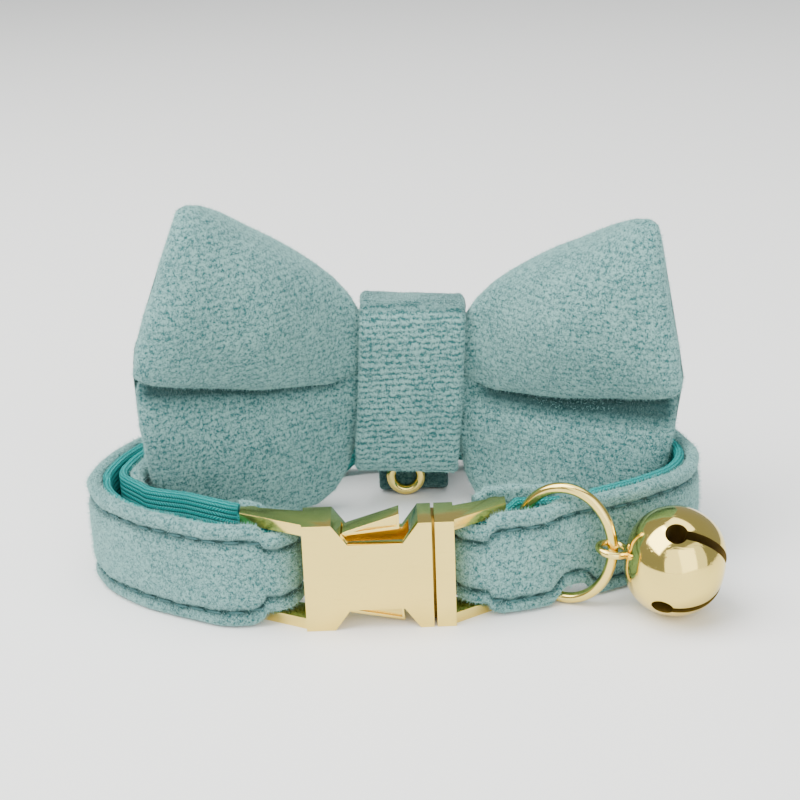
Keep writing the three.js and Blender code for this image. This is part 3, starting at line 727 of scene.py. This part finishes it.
def spun(bm, axis, steps, join):
    """Turns an outline once round an axis, into a closed skin."""
    bmesh.ops.spin(bm, geom=bm.verts[:] + bm.edges[:], cent=(0, 0, 0), axis=axis, angle=2 * math.pi,
                   steps=steps, use_merge=True)
    bmesh.ops.remove_doubles(bm, verts=bm.verts, dist=join)
    bmesh.ops.recalc_face_normals(bm, faces=bm.faces)


def wire_circle(segments, radius, out):
    """A wire's round section, stood beside the axis that it is spun round."""
    bm = bmesh.new()
    bmesh.ops.create_circle(bm, segments=segments, radius=radius,
                            matrix=Matrix.Translation((out, 0, 0)) @ Matrix.Rotation(math.pi / 2, 4, "X"))
    return bm


def cast_copy(node, edge, angle=math.radians(25)):
    """A CAD node's mesh, merged and with its sharp edges rounded."""
    bm = bmesh.new()
    bm.from_mesh(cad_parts[node].data)
    bmesh.ops.remove_doubles(bm, verts=bm.verts, dist=2e-6)
    bmesh.ops.dissolve_limit(bm, angle_limit=math.radians(1.0), verts=bm.verts, edges=bm.edges)
    sharp = [e for e in bm.edges if len(e.link_faces) == 2 and e.calc_face_angle() > angle]
    bmesh.ops.bevel(bm, geom=sharp, offset=edge, offset_type="OFFSET", affect="EDGES", segments=3,
                    profile=0.5, clamp_overlap=True, material=-1)
    return bm


def shaded_by_angle(piece, angle=math.radians(35)):
    """Sets a piece to shade smoothly except across its sharp edges."""
    bm = bmesh.new()
    bm.from_mesh(piece.data)
    for edge in bm.edges:
        if len(edge.link_faces) == 2 and edge.calc_face_angle() > angle:
            edge.smooth = False
    bm.to_mesh(piece.data)
    bm.free()


def ring_wire():
    """The ring: round wire along an arc that closes on a short flat side."""
    high = RING_HIGH / 2 - RING_WIRE
    direction = Vector((math.cos(RING_TURN), -math.sin(RING_TURN), 0))
    side = Vector((-direction.y, direction.x, 0))
    middle = RING_REACH * 0.463
    wide = RING_REACH - middle
    limit = math.acos(-middle / wide)
    path = []
    for i in range(73):
        angle = -limit + 2 * limit * i / 72
        path.append(Vector((middle + wide * math.cos(angle), high * math.sin(angle), 0)))
    start = path[0].y
    path += [Vector((0, -start / 3, 0)), Vector((0, start / 3, 0))]
    line = curve_through(path, closed=True, fine=3)[:-1]
    count = len(line)

    def place(i, j):
        before, here, after = line[i - 1], line[i], line[(i + 1) % count]
        along = (after - before).normalized()
        normal = Vector((along.y, -along.x, 0))
        angle = 2 * math.pi * j / 20
        out, off = RING_WIRE * math.cos(angle), RING_WIRE * math.sin(angle)
        r, z = here.x + normal.x * out, here.y + normal.y * out
        p = RING_BAR + direction * r + side * off
        return placed(p.x, p.y, RING_MIDDLE + z)

    return wrapped(count, 20, place, 0.05, 0.0047, closed_along=True)


def ring_foot():
    """Where the ring's flat side stands, behind the strap's outer layer."""
    best = None
    distance = OUTSIDE.length * 0.8
    while distance < OUTSIDE.length:
        point, inward = station_at(distance)
        at = point + inward * (LAYER + GAP + RING_WIRE)
        if best is None or abs(at.x - RING_FOOT_X) < abs(best.x - RING_FOOT_X):
            best = at
        distance += 0.05
    return best


RING_BAR = ring_foot()


BELL_HALF, BELL_RADIUS, BELL_WALL, SHANK = 6.7, 7.4, 0.6, 1.7
SLIT_WIDTH, SLIT_END, SLIT_TURN = 1.3, 1.5, math.radians(54)
SLIT_TOP = 7.6 - BELL_HALF


def bell_frame():
    """The bell's middle and its own axes: its Y runs along the shank."""
    drop, swing = math.radians(9.5), math.radians(9)
    far = RING_BAR + Vector((math.cos(RING_TURN), -math.sin(RING_TURN), 0)) * RING_REACH
    far.z = RING_MIDDLE
    axis = Vector((-math.cos(drop) * math.cos(swing), math.cos(drop) * math.sin(swing), math.sin(drop)))
    centre = far - axis * (BELL_HALF + SHANK)
    side = axis.cross(Vector((0, 0, 1))).normalized()
    up = side.cross(axis)
    matrix = Matrix((side, axis, up)).transposed().to_4x4()
    return Matrix.Translation(placed(*centre)) @ matrix


def bell_shell(sides):
    """The bell's wall: an outer and an inner outline, spun round the shank's axis."""
    bm = bmesh.new()
    steps = 40
    verts = []
    for wall in (0.0, BELL_WALL):
        row = []
        for k in range(steps + 1):
            angle = -math.pi / 2 + math.pi * k / steps
            radius = (BELL_RADIUS - wall) * max(0.0, math.cos(angle)) ** 0.82
            height = (BELL_HALF - wall) * math.sin(angle)
            if k in (0, steps):
                radius = 0.0
            row.append(bm.verts.new(Vector((radius, height, 0)) * MM))
        verts.append(row)
    for row in verts:
        for a, b in zip(row, row[1:]):
            bm.edges.new((a, b))
    spun(bm, (0, 1, 0), sides, 1e-6)
    # Soft dents of a pressed sheet, on the outer wall only
    for vert in bm.verts:
        if vert.co.length > 6.35 * MM:
            dent = 0.10 * noise.noise(vert.co / MM / 3.4 + Vector((3.3, 1.1, 7.7)))
            vert.co *= 1 + min(0.004, dent * 0.12)
    return bm


def slit_cutter():
    """Two crossing slots, to cut the bell's slits."""
    below = BELL_HALF + SLIT_END
    bm = bmesh.new()
    for number in (0, 1):
        turn = Matrix.Rotation(SLIT_TURN + number * math.pi / 2, 4, "Y")
        made = bmesh.ops.create_cube(bm, size=1.0)
        slot = Matrix.Diagonal((SLIT_WIDTH, below + SLIT_TOP, 18.0 - 0.3 * number, 1))
        shift = Matrix.Translation((0, (SLIT_TOP - below) / 2, 0))
        bmesh.ops.transform(bm, matrix=Matrix.Scale(MM, 4) @ turn @ shift @ slot, verts=made["verts"])
    return bm


def round_ends():
    """The round ends of the bell's slits."""
    bm = bmesh.new()
    for number in (0, 1):
        turn = Matrix.Rotation(SLIT_TURN + number * math.pi / 2, 4, "Y")
        bmesh.ops.create_cone(
            bm, cap_ends=True, segments=36, radius1=SLIT_END, radius2=SLIT_END, depth=18.4 - 0.5 * number,
            matrix=Matrix.Scale(MM, 4) @ turn @ Matrix.Translation((0, SLIT_TOP, 0)))
    return bm


def bell_shank(where):
    """The wire eye that holds the bell to the ring."""
    bm = wire_circle(18, 0.0005, 0.0019)
    spun(bm, (0, 0, 1), 48, 1e-7)
    away = Matrix.Translation((0, (BELL_HALF + SHANK) * MM, 0))
    bmesh.ops.transform(bm, matrix=where @ away, verts=bm.verts)
    return bm


def loose_pea():
    """The pea in the bell, a little out of round."""
    low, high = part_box("bell_pea")
    centre = (low + high) / 2
    bm = bmesh.new()
    bmesh.ops.create_uvsphere(bm, u_segments=40, v_segments=24, radius=(high.z - low.z) / 2,
                              matrix=Matrix.Translation(centre))
    for vert in bm.verts:
        vert.co += (vert.co - centre) * 0.015 * noise.noise(vert.co / MM)
    return bm


def snap_ring():
    """The ring snap: a round ring with a flat back against the band."""
    low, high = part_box("ring_snap")
    centre = (low + high) / 2
    bm = wire_circle(20, 0.80, 2.35)
    for vert in bm.verts:
        vert.co.z = max(vert.co.z, 0.0) * 1.2
    spun(bm, (0, 0, 1), 64, 1e-4)
    stand = Matrix.Translation((centre.x, high.y, centre.z)) @ Matrix.Rotation(math.pi / 2, 4, "X")
    bmesh.ops.transform(bm, matrix=stand @ Matrix.Scale(MM, 4), verts=bm.verts)
    return bm


def shaded_plug_shoulder():
    """The plug's shoulder in the socket's mouth, which closes the view between the two halves; its dark gold
    is painted shade.
    """
    low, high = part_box("buckle_socket")
    centre = Vector((high.x, (low.y + high.y) / 2, (low.z + high.z) / 2))
    size = Matrix.Diagonal((0.0016, high.y - low.y - 0.0022, high.z - low.z - 0.0016, 1))
    bm = bmesh.new()
    bmesh.ops.create_cube(bm, size=1.0, matrix=Matrix.Translation(centre) @ size)
    return bm


def cut_from(piece, cutter_bm):
    """Cuts a shape out of a piece for good."""
    mesh = bpy.data.meshes.new("cutter")
    cutter_bm.to_mesh(mesh)
    cutter_bm.free()
    cutter = bpy.data.objects.new("cutter", mesh)
    bpy.context.scene.collection.objects.link(cutter)
    cut = piece.modifiers.new("Cut", "BOOLEAN")
    cut.operation = "DIFFERENCE"
    cut.solver = "EXACT"
    cut.use_self = True
    cut.object = cutter
    bpy.context.view_layer.update()
    evaluated = piece.evaluated_get(bpy.context.evaluated_depsgraph_get())
    result = bpy.data.meshes.new_from_object(evaluated)
    piece.modifiers.clear()
    old = piece.data
    piece.data = result
    bpy.data.meshes.remove(old)
    bpy.data.objects.remove(cutter)
    bpy.data.meshes.remove(mesh)


# Shader groups


def new_group(name, inputs, outputs):
    group = bpy.data.node_groups.new(name, "ShaderNodeTree")
    for label, kind, default in inputs:
        socket = group.interface.new_socket(name=label, in_out="INPUT", socket_type=kind)
        if default is not None:
            socket.default_value = default
    for label, kind in outputs:
        group.interface.new_socket(name=label, in_out="OUTPUT", socket_type=kind)
    entry = group.nodes.new("NodeGroupInput")
    leave = group.nodes.new("NodeGroupOutput")
    return group, entry, leave


def mix_colour(nodes, links, factor, a, b):
    mix = nodes.new("ShaderNodeMix")
    mix.data_type = "RGBA"
    for socket, value in ((0, factor), (6, a), (7, b)):
        if hasattr(value, "is_output"):
            links.new(value, mix.inputs[socket])
        else:
            mix.inputs[socket].default_value = value
    return mix.outputs[2]


def maths(nodes, links, operation, a, b=0.0, clamp=False):
    node = nodes.new("ShaderNodeMath")
    node.operation = operation
    node.use_clamp = clamp
    for socket, value in ((0, a), (1, b)):
        if hasattr(value, "is_output"):
            links.new(value, node.inputs[socket])
        else:
            node.inputs[socket].default_value = value
    return node.outputs[0]


def noise_at(nodes, links, vector, scale, detail=3.0, roughness=0.55, distortion=0.0):
    node = nodes.new("ShaderNodeTexNoise")
    node.inputs["Scale"].default_value = scale
    node.inputs["Detail"].default_value = detail
    node.inputs["Roughness"].default_value = roughness
    node.inputs["Distortion"].default_value = distortion
    links.new(vector, node.inputs["Vector"])
    return node.outputs["Fac"]


def ramp(nodes, links, value, stops):
    node = nodes.new("ShaderNodeValToRGB")
    links.new(value, node.inputs[0])
    elements = node.color_ramp.elements
    while len(elements) < len(stops):
        elements.new(0.5)
    for element, (position, grey) in zip(elements, stops):
        element.position = position
        element.color = (grey, grey, grey, 1)
    return node.outputs[0]


def pile_group():
    """Pile: the tufts of a short velvet, their rows, and the patches where it has been brushed."""
    group, entry, leave = new_group(
        "Velvet pile",
        [("Vector", "NodeSocketVector", None), ("Rows", "NodeSocketFloat", 0.05)],
        [("Tufts", "NodeSocketFloat"), ("Brushed", "NodeSocketFloat"), ("Height", "NodeSocketFloat")])
    nodes, links = group.nodes, group.links
    stretch = nodes.new("ShaderNodeVectorMath")
    stretch.operation = "MULTIPLY"
    links.new(entry.outputs["Vector"], stretch.inputs[0])
    stretch.inputs[1].default_value = (1.05, 0.9, 0.95)
    fine = noise_at(nodes, links, stretch.outputs[0], 4200.0, 2.0, 0.6)
    tuft = noise_at(nodes, links, stretch.outputs[0], 2000.0, 3.0, 0.7, 0.3)
    wave = nodes.new("ShaderNodeTexWave")
    wave.bands_direction = "Z"
    wave.inputs["Scale"].default_value = 340.0
    wave.inputs["Distortion"].default_value = 4.5
    wave.inputs["Detail"].default_value = 3.0
    wave.inputs["Detail Scale"].default_value = 2.6
    links.new(entry.outputs["Vector"], wave.inputs["Vector"])
    row = wave.outputs["Fac"]
    patch = noise_at(nodes, links, entry.outputs["Vector"], 85.0, 3.0, 0.55, 1.6)
    both = maths(nodes, links, "MULTIPLY_ADD", tuft, 0.62)
    links.new(maths(nodes, links, "MULTIPLY", fine, 0.38), both.node.inputs[2])
    rowed = maths(nodes, links, "MULTIPLY", maths(nodes, links, "SUBTRACT", row, 0.5), entry.outputs["Rows"])
    total = maths(nodes, links, "ADD", both, rowed)
    links.new(ramp(nodes, links, total, [(0.41, 0.0), (0.59, 1.0)]), leave.inputs["Tufts"])
    links.new(ramp(nodes, links, patch, [(0.34, 0.0), (0.68, 1.0)]), leave.inputs["Brushed"])
    links.new(total, leave.inputs["Height"])
    return group


def braid_group():
    """Braid: threads that cross on the slant, from the distances along and across the webbing."""
    group, entry, leave = new_group(
        "Webbing braid",
        [("Vector", "NodeSocketVector", None), ("Pitch", "NodeSocketFloat", 0.00125)],
        [("Height", "NodeSocketFloat")])
    nodes, links = group.nodes, group.links
    split = nodes.new("ShaderNodeSeparateXYZ")
    links.new(entry.outputs["Vector"], split.inputs[0])
    u = maths(nodes, links, "DIVIDE", split.outputs[0], entry.outputs["Pitch"])
    v = maths(nodes, links, "DIVIDE", split.outputs[1], entry.outputs["Pitch"])
    v = maths(nodes, links, "MULTIPLY", v, 1.35)
    row = maths(nodes, links, "FLOOR", v)
    flip = maths(nodes, links, "SUBTRACT", maths(nodes, links, "MULTIPLY",
                 maths(nodes, links, "MODULO", maths(nodes, links, "ABSOLUTE", row), 2.0), 2.0), 1.0)
    within = maths(nodes, links, "SUBTRACT", maths(nodes, links, "FRACT", v), 0.5)
    slant = maths(nodes, links, "MULTIPLY", within, flip)
    phase = maths(nodes, links, "ADD", maths(nodes, links, "MULTIPLY", u, 2.0), slant)
    saw = maths(nodes, links, "SUBTRACT", maths(nodes, links, "FRACT", phase), 0.5)
    thread = maths(nodes, links, "SUBTRACT", 1.0,
                   maths(nodes, links, "MULTIPLY", maths(nodes, links, "ABSOLUTE", saw), 1.9), True)
    column = maths(nodes, links, "SUBTRACT", 1.0,
                   maths(nodes, links, "POWER", maths(nodes, links, "ABSOLUTE",
                         maths(nodes, links, "MULTIPLY", within, 2.0)), 2.4), True)
    height = maths(nodes, links, "MULTIPLY", maths(nodes, links, "POWER", thread, 0.6), column)
    links.new(height, leave.inputs["Height"])
    return group


def handled_group():
    """Handling: hairline scratches and a faint haze on plated metal."""
    group, entry, leave = new_group(
        "Plated wear",
        [("Vector", "NodeSocketVector", None), ("Amount", "NodeSocketFloat", 1.0)],
        [("Haze", "NodeSocketFloat"), ("Height", "NodeSocketFloat")])
    nodes, links = group.nodes, group.links
    haze = noise_at(nodes, links, entry.outputs["Vector"], 140.0, 4.0, 0.6, 0.5)
    stretch = nodes.new("ShaderNodeVectorMath")
    stretch.operation = "MULTIPLY"
    links.new(entry.outputs["Vector"], stretch.inputs[0])
    stretch.inputs[1].default_value = (0.12, 1.0, 1.0)
    hair = noise_at(nodes, links, stretch.outputs[0], 2600.0, 2.0, 0.5)
    lines = ramp(nodes, links, hair, [(0.60, 0.0), (0.70, 1.0)])
    wave = noise_at(nodes, links, entry.outputs["Vector"], 260.0, 2.0, 0.5)
    sum_haze = maths(nodes, links, "ADD", maths(nodes, links, "MULTIPLY", haze, 0.7),
                     maths(nodes, links, "MULTIPLY", lines, 0.3))
    links.new(maths(nodes, links, "MULTIPLY", sum_haze, entry.outputs["Amount"], True), leave.inputs["Haze"])
    links.new(maths(nodes, links, "SUBTRACT", maths(nodes, links, "MULTIPLY", wave, 0.8),
                    maths(nodes, links, "MULTIPLY", lines, 0.12)), leave.inputs["Height"])
    return group


def group_node(nodes, tree):
    node = nodes.new("ShaderNodeGroup")
    node.node_tree = tree
    return node


def material_shell(name):
    material = bpy.data.materials.new(name)
    material.use_nodes = True
    nodes, links = material.node_tree.nodes, material.node_tree.links
    shader = nodes["Principled BSDF"]
    return material, nodes, links, shader


def velvet_material(name, settings, rows, lift):
    """Short-pile velvet: dark between its tufts, pale on their tips; painted sheen where it turns away,
    painted shade where the Shade attribute is set.
    """
    material, nodes, links, shader = material_shell(name)
    place = nodes.new("ShaderNodeTexCoord")
    group = group_node(nodes, bpy.data.node_groups["Velvet pile"])
    links.new(place.outputs["Object"], group.inputs["Vector"])
    group.inputs["Rows"].default_value = rows
    base = [c * lift for c in settings.colour] + [1]
    deep = [c * lift for c in settings.deep_colour] + [1]
    pale = [min(1, c * 1.30 * lift) for c in settings.colour] + [1]
    body = mix_colour(nodes, links, group.outputs["Tufts"], deep, base)
    share = maths(nodes, links, "MULTIPLY", group.outputs["Brushed"], group.outputs["Tufts"])
    body = mix_colour(nodes, links, maths(nodes, links, "MULTIPLY", share, 0.55), body, pale)
    # Painted sheen: paler where the velvet turns away from the view
    facing = nodes.new("ShaderNodeLayerWeight")
    facing.inputs["Blend"].default_value = 0.42
    rim = maths(nodes, links, "POWER", facing.outputs["Facing"], 2.2)
    body = mix_colour(nodes, links, maths(nodes, links, "MULTIPLY", rim, 0.30), body,
                      [min(1, c * 1.6 * lift) for c in settings.colour] + [1])
    # Painted shade: darker where the Shade attribute is set
    shade = nodes.new("ShaderNodeAttribute")
    shade.attribute_name = SHADE
    in_shade = maths(nodes, links, "MULTIPLY", shade.outputs["Fac"], 0.90, True)
    body = mix_colour(nodes, links, in_shade, body, [c * 0.30 * lift for c in settings.deep_colour] + [1])
    links.new(body, shader.inputs["Base Color"])
    shader.inputs["Roughness"].default_value = 0.92
    shader.inputs["Specular IOR Level"].default_value = 0.12
    shader.inputs["Sheen Weight"].default_value = 0.30
    shader.inputs["Sheen Roughness"].default_value = 0.38
    shader.inputs["Sheen Tint"].default_value = (0.62, 0.86, 0.83, 1)
    bump = nodes.new("ShaderNodeBump")
    bump.inputs["Strength"].default_value = 0.95
    bump.inputs["Distance"].default_value = 0.00075
    links.new(group.outputs["Height"], bump.inputs["Height"])
    links.new(bump.outputs["Normal"], shader.inputs["Normal"])
    return material


def hair_material(name, settings):
    """Single hairs of the pile."""
    material, nodes, links, shader = material_shell(name)
    place = nodes.new("ShaderNodeTexCoord")
    patch = noise_at(nodes, links, place.outputs["Object"], 700.0, 2.0)
    colour = mix_colour(nodes, links, patch, [c * 0.75 for c in settings.colour] + [1],
                        [min(1, c * 1.45) for c in settings.colour] + [1])
    links.new(colour, shader.inputs["Base Color"])
    shader.inputs["Roughness"].default_value = 0.75
    shader.inputs["Specular IOR Level"].default_value = 0.2
    return material


def webbing_material(settings):
    """Braided webbing: a slight gloss on each thread, and painted shade between them."""
    material, nodes, links, shader = material_shell("Braided webbing")
    place = nodes.new("ShaderNodeUVMap")
    place.uv_map = "Cloth"
    group = group_node(nodes, bpy.data.node_groups["Webbing braid"])
    links.new(place.outputs["UV"], group.inputs["Vector"])
    group.inputs["Pitch"].default_value = 0.00095
    base = settings.webbing_colour
    # Painted shade: dark where the braid is low between threads
    colour = mix_colour(nodes, links, group.outputs["Height"], [c * 0.16 for c in base] + [1],
                        [min(1, c * 1.1) for c in base] + [1])
    objects = nodes.new("ShaderNodeTexCoord")
    patch = noise_at(nodes, links, objects.outputs["Object"], 900.0, 2.0)
    colour = mix_colour(nodes, links, maths(nodes, links, "MULTIPLY", patch, 0.20), colour,
                        [min(1, c * 1.5 + 0.01) for c in base] + [1])
    links.new(colour, shader.inputs["Base Color"])
    shader.inputs["Roughness"].default_value = 0.58
    shader.inputs["Specular IOR Level"].default_value = 0.3
    bump = nodes.new("ShaderNodeBump")
    bump.inputs["Strength"].default_value = 0.9
    bump.inputs["Distance"].default_value = 0.0003
    links.new(group.outputs["Height"], bump.inputs["Height"])
    links.new(bump.outputs["Normal"], shader.inputs["Normal"])
    return material


def thread_material(settings):
    material, nodes, links, shader = material_shell("Sewing thread")
    place = nodes.new("ShaderNodeTexCoord")
    twist = noise_at(nodes, links, place.outputs["Object"], 2400.0, 2.0)
    colour = mix_colour(nodes, links, twist, [c * 0.35 for c in settings.deep_colour] + [1],
                        [*settings.deep_colour, 1])
    links.new(colour, shader.inputs["Base Color"])
    shader.inputs["Roughness"].default_value = 0.6
    return material


def gold_material(name, colour, rough, wear, dents=0.0):
    """Pale gold plating: mirror bright with a thin haze of handling."""
    material, nodes, links, shader = material_shell(name)
    place = nodes.new("ShaderNodeTexCoord")
    group = group_node(nodes, bpy.data.node_groups["Plated wear"])
    links.new(place.outputs["Object"], group.inputs["Vector"])
    group.inputs["Amount"].default_value = wear
    tone = mix_colour(nodes, links, group.outputs["Haze"], [*colour, 1],
                      [colour[0] * 0.86, colour[1] * 0.82, colour[2] * 0.74, 1])
    links.new(tone, shader.inputs["Base Color"])
    shader.inputs["Metallic"].default_value = 1.0
    rough_out = maths(nodes, links, "MULTIPLY_ADD", group.outputs["Haze"], 0.10)
    rough_out.node.inputs[2].default_value = rough
    links.new(rough_out, shader.inputs["Roughness"])
    bump = nodes.new("ShaderNodeBump")
    bump.inputs["Strength"].default_value = 0.18 + dents
    bump.inputs["Distance"].default_value = 0.00006 + 0.0006 * dents
    links.new(group.outputs["Height"], bump.inputs["Height"])
    links.new(bump.outputs["Normal"], shader.inputs["Normal"])
    return material


# Operators


class COLLAR_OT_materials(bpy.types.Operator):
    """Make the velvet, webbing, thread and gold"""

    bl_idname = "collar.materials"
    bl_label = "Materials"

    def execute(self, context):
        strap, metal = context.scene.collar_strap, context.scene.collar_metal
        pile_group()
        braid_group()
        handled_group()
        velvet_material("Strap velvet", strap, rows=0.03, lift=0.82)
        velvet_material("Bow velvet", strap, rows=0.05, lift=0.84)
        velvet_material("Knot velvet", strap, rows=0.13, lift=0.84)
        hair_material("Velvet hairs", strap)
        webbing_material(strap)
        thread_material(strap)
        gold = tuple(metal.colour)
        gold_material("Cast gold", gold, 0.13, 0.8)
        gold_material("Wire gold", gold, 0.11, 0.7)
        gold_material("Bell gold", (gold[0] * 0.98, gold[1] * 0.98, gold[2] * 0.95), 0.07, 0.5, dents=0.12)
        # Dark gold that paints shade inside the bell and in the buckle's mouth
        gold_material("Painted shade gold", (gold[0] * 0.30, gold[1] * 0.26, gold[2] * 0.20), 0.45, 1.0)
        return {"FINISHED"}


class COLLAR_OT_strap(bpy.types.Operator):
    """Build the velvet strap, its lining, its stitches and its pile"""

    bl_idname = "collar.strap"
    bl_label = "Strap"

    def execute(self, context):
        settings = context.scene.collar_strap
        bm, stations = strap_velvet(settings)
        velvet = finished("strap_outer", bm, "Strap velvet", ["strap_velvet"])
        lining = finished("strap_lining", strap_webbing(), "Braided webbing", ["strap_webbing"])
        threads = finished("strap_stitches", stitches(stations, settings), "Sewing thread")
        hairs = finished("strap_pile", pile(velvet, 90000, 0.00075, 11), "Velvet hairs")
        return {"FINISHED"}


class COLLAR_OT_bow(bpy.types.Operator):
    """Build the stuffed bow, its knot and its band"""

    bl_idname = "collar.bow"
    bl_label = "Bow"

    def execute(self, context):
        settings = context.scene.collar_bow
        wings = finished("bow_wings", bow_wings(settings), "Bow velvet", ["bow_body"])
        finished("bow_pile", pile(wings, 110000, 0.00055, 12), "Velvet hairs")
        knot = finished("knot_band", bow_knot(settings), "Knot velvet", ["bow_knot"])
        finished("knot_pile", pile(knot, 16000, 0.0005, 13), "Velvet hairs")
        band = finished("holding_band", holding_band(), "Bow velvet", ["bow_band"])
        finished("band_pile", pile(band, 8000, 0.0005, 14), "Velvet hairs")
        return {"FINISHED"}


class COLLAR_OT_buckle(bpy.types.Operator):
    """Round the edges of the cast buckle and its levers"""

    bl_idname = "collar.buckle"
    bl_label = "Buckle"

    def execute(self, context):
        edge = context.scene.collar_metal.edge
        # The plug's shoulder is dark gold, painted shade in the socket's mouth
        finished("shaded_plug_shoulder", shaded_plug_shoulder(), "Painted shade gold")
        for name, node, size, body in (
            ("socket_half", "buckle_socket", edge, BODY),
            ("plug_half", "buckle_plug", edge, BODY),
            ("upper_lever", "lever_upper", edge * 0.4, "lever_upper"),
            ("lower_lever", "lever_lower", edge * 0.4, "lever_lower"),
        ):
            piece = finished(name, cast_copy(node, size), "Cast gold", [node], body=body)
            shaded_by_angle(piece)
        return {"FINISHED"}


class COLLAR_OT_ring_and_bell(bpy.types.Operator):
    """Build the ring, the bell with its pea, and the snap"""

    bl_idname = "collar.ring_and_bell"
    bl_label = "Ring and bell"

    def execute(self, context):
        sides = context.scene.collar_metal.bell_sides
        finished("wire_ring", ring_wire(), "Wire gold", ["d_ring"])
        where = bell_frame()
        bell = finished("bell_shell", bell_shell(sides), "Bell gold", ["bell"])
        cut_from(bell, slit_cutter())
        cut_from(bell, round_ends())
        # The bell's inner faces get dark gold, painted shade
        bell.data.materials.append(bpy.data.materials["Painted shade gold"])
        for polygon in bell.data.polygons:
            inside = polygon.center.dot(polygon.normal) < 0 and polygon.center.length < 7.2 * MM
            polygon.material_index = 1 if inside else 0
        bell.data.transform(where)
        bell.data.update()
        shaded_by_angle(bell, math.radians(50))
        finished("bell_shank", bell_shank(where), "Wire gold")
        finished("loose_pea", loose_pea(), "Wire gold", ["bell_pea"])
        finished("snap_ring", snap_ring(), "Wire gold", ["ring_snap"])
        return {"FINISHED"}


class COLLAR_OT_stage(bpy.types.Operator):
    """Lay the pale floor and set the soft lights"""

    bl_idname = "collar.stage"
    bl_label = "Stage"

    def execute(self, context):
        settings = context.scene.collar_stage
        bm = bmesh.new()
        bmesh.ops.create_grid(bm, x_segments=1, y_segments=1, size=3.0)
        mesh = bpy.data.meshes.new("floor")
        bm.to_mesh(mesh)
        bm.free()
        floor = bpy.data.objects.new("floor", mesh)
        context.scene.collection.objects.link(floor)
        material, _, _, shader = material_shell("Pale floor")
        shader.inputs["Base Color"].default_value = (*settings.floor, 1)
        shader.inputs["Roughness"].default_value = 0.55
        floor.data.materials.append(material)
        world = bpy.data.worlds.new("Studio")
        world.use_nodes = True
        world.node_tree.nodes["Background"].inputs[0].default_value = (0.80, 0.84, 0.84, 1)
        world.node_tree.nodes["Background"].inputs[1].default_value = 0.50
        context.scene.world = world
        # Each light's name, place and size in metres, power in watts, and tint
        for name, place, size, power, tint in (
            ("Key light", (-0.34, -0.10, 0.60), 0.62, 10.0, (1.0, 0.99, 0.97)),
            ("Fill light", (0.45, -0.65, 0.35), 0.95, 4.0, (0.97, 0.99, 1.0)),
            ("Front light", (0.10, -1.30, 0.42), 1.80, 23.0, (1.0, 1.0, 1.0)),
            ("Top light", (0.10, 0.10, 0.75), 0.60, 3.5, (1.0, 1.0, 1.0)),
        ):
            data = bpy.data.lights.new(name, "AREA")
            data.energy = power
            data.size = size
            data.color = tint
            light = bpy.data.objects.new(name, data)
            light.location = place
            light.rotation_mode = "QUATERNION"
            light.rotation_quaternion = (Vector((0, 0, 0.015)) - Vector(place)).to_track_quat("-Z", "Y")
            context.scene.collection.objects.link(light)
        return {"FINISHED"}


# The camera's place, in millimetres from the buckle, and its turns, as worked out from the photograph
CAMERA_PLACE = (0, -201.31, 107.62)
CAMERA_TILT, CAMERA_ROLL = math.radians(69.6), math.radians(-2.2)


class COLLAR_OT_camera(bpy.types.Operator):
    """Set the camera at the photograph's angle"""

    bl_idname = "collar.camera"
    bl_label = "Camera"

    def execute(self, context):
        data = bpy.data.cameras.new("Camera")
        data.lens = context.scene.collar_stage.lens
        data.sensor_width = 36
        data.clip_start, data.clip_end = 0.005, 10
        camera = bpy.data.objects.new("Camera", data)
        tilt = Matrix.Rotation(CAMERA_TILT, 4, "X") @ Matrix.Rotation(CAMERA_ROLL, 4, "Z")
        camera.matrix_world = Matrix.Translation(placed(*CAMERA_PLACE)) @ tilt
        context.scene.collection.objects.link(camera)
        context.scene.camera = camera
        return {"FINISHED"}


class COLLAR_PT_panel(bpy.types.Panel):
    """The collar's sizes, colours and pieces"""

    bl_idname = "COLLAR_PT_panel"
    bl_label = "Collar"
    bl_space_type = "VIEW_3D"
    bl_region_type = "UI"
    bl_category = "Collar"

    def draw(self, context):
        for title, group in SETTINGS:
            box = self.layout.box()
            box.label(text=title.replace("collar_", "").capitalize())
            for name in group.__annotations__:
                box.prop(getattr(context.scene, title), name)
        for operator in STEPS:
            self.layout.operator(operator.bl_idname)


SETTINGS = (("collar_strap", StrapSettings), ("collar_bow", BowSettings), ("collar_metal", MetalSettings),
            ("collar_stage", StageSettings))
STEPS = (COLLAR_OT_camera, COLLAR_OT_materials, COLLAR_OT_strap, COLLAR_OT_bow, COLLAR_OT_buckle,
         COLLAR_OT_ring_and_bell, COLLAR_OT_stage)


def register():
    for title, group in SETTINGS:
        bpy.utils.register_class(group)
        setattr(bpy.types.Scene, title, PointerProperty(type=group))
    for step in STEPS:
        bpy.utils.register_class(step)
    bpy.utils.register_class(COLLAR_PT_panel)


def unregister():
    bpy.utils.unregister_class(COLLAR_PT_panel)
    for step in reversed(STEPS):
        bpy.utils.unregister_class(step)
    for title, group in reversed(SETTINGS):
        delattr(bpy.types.Scene, title)
        bpy.utils.unregister_class(group)


def main():
    register()
    for step in STEPS:
        family, name = step.bl_idname.split(".")
        getattr(getattr(bpy.ops, family), name)()


if __name__ == "__main__":
    main()
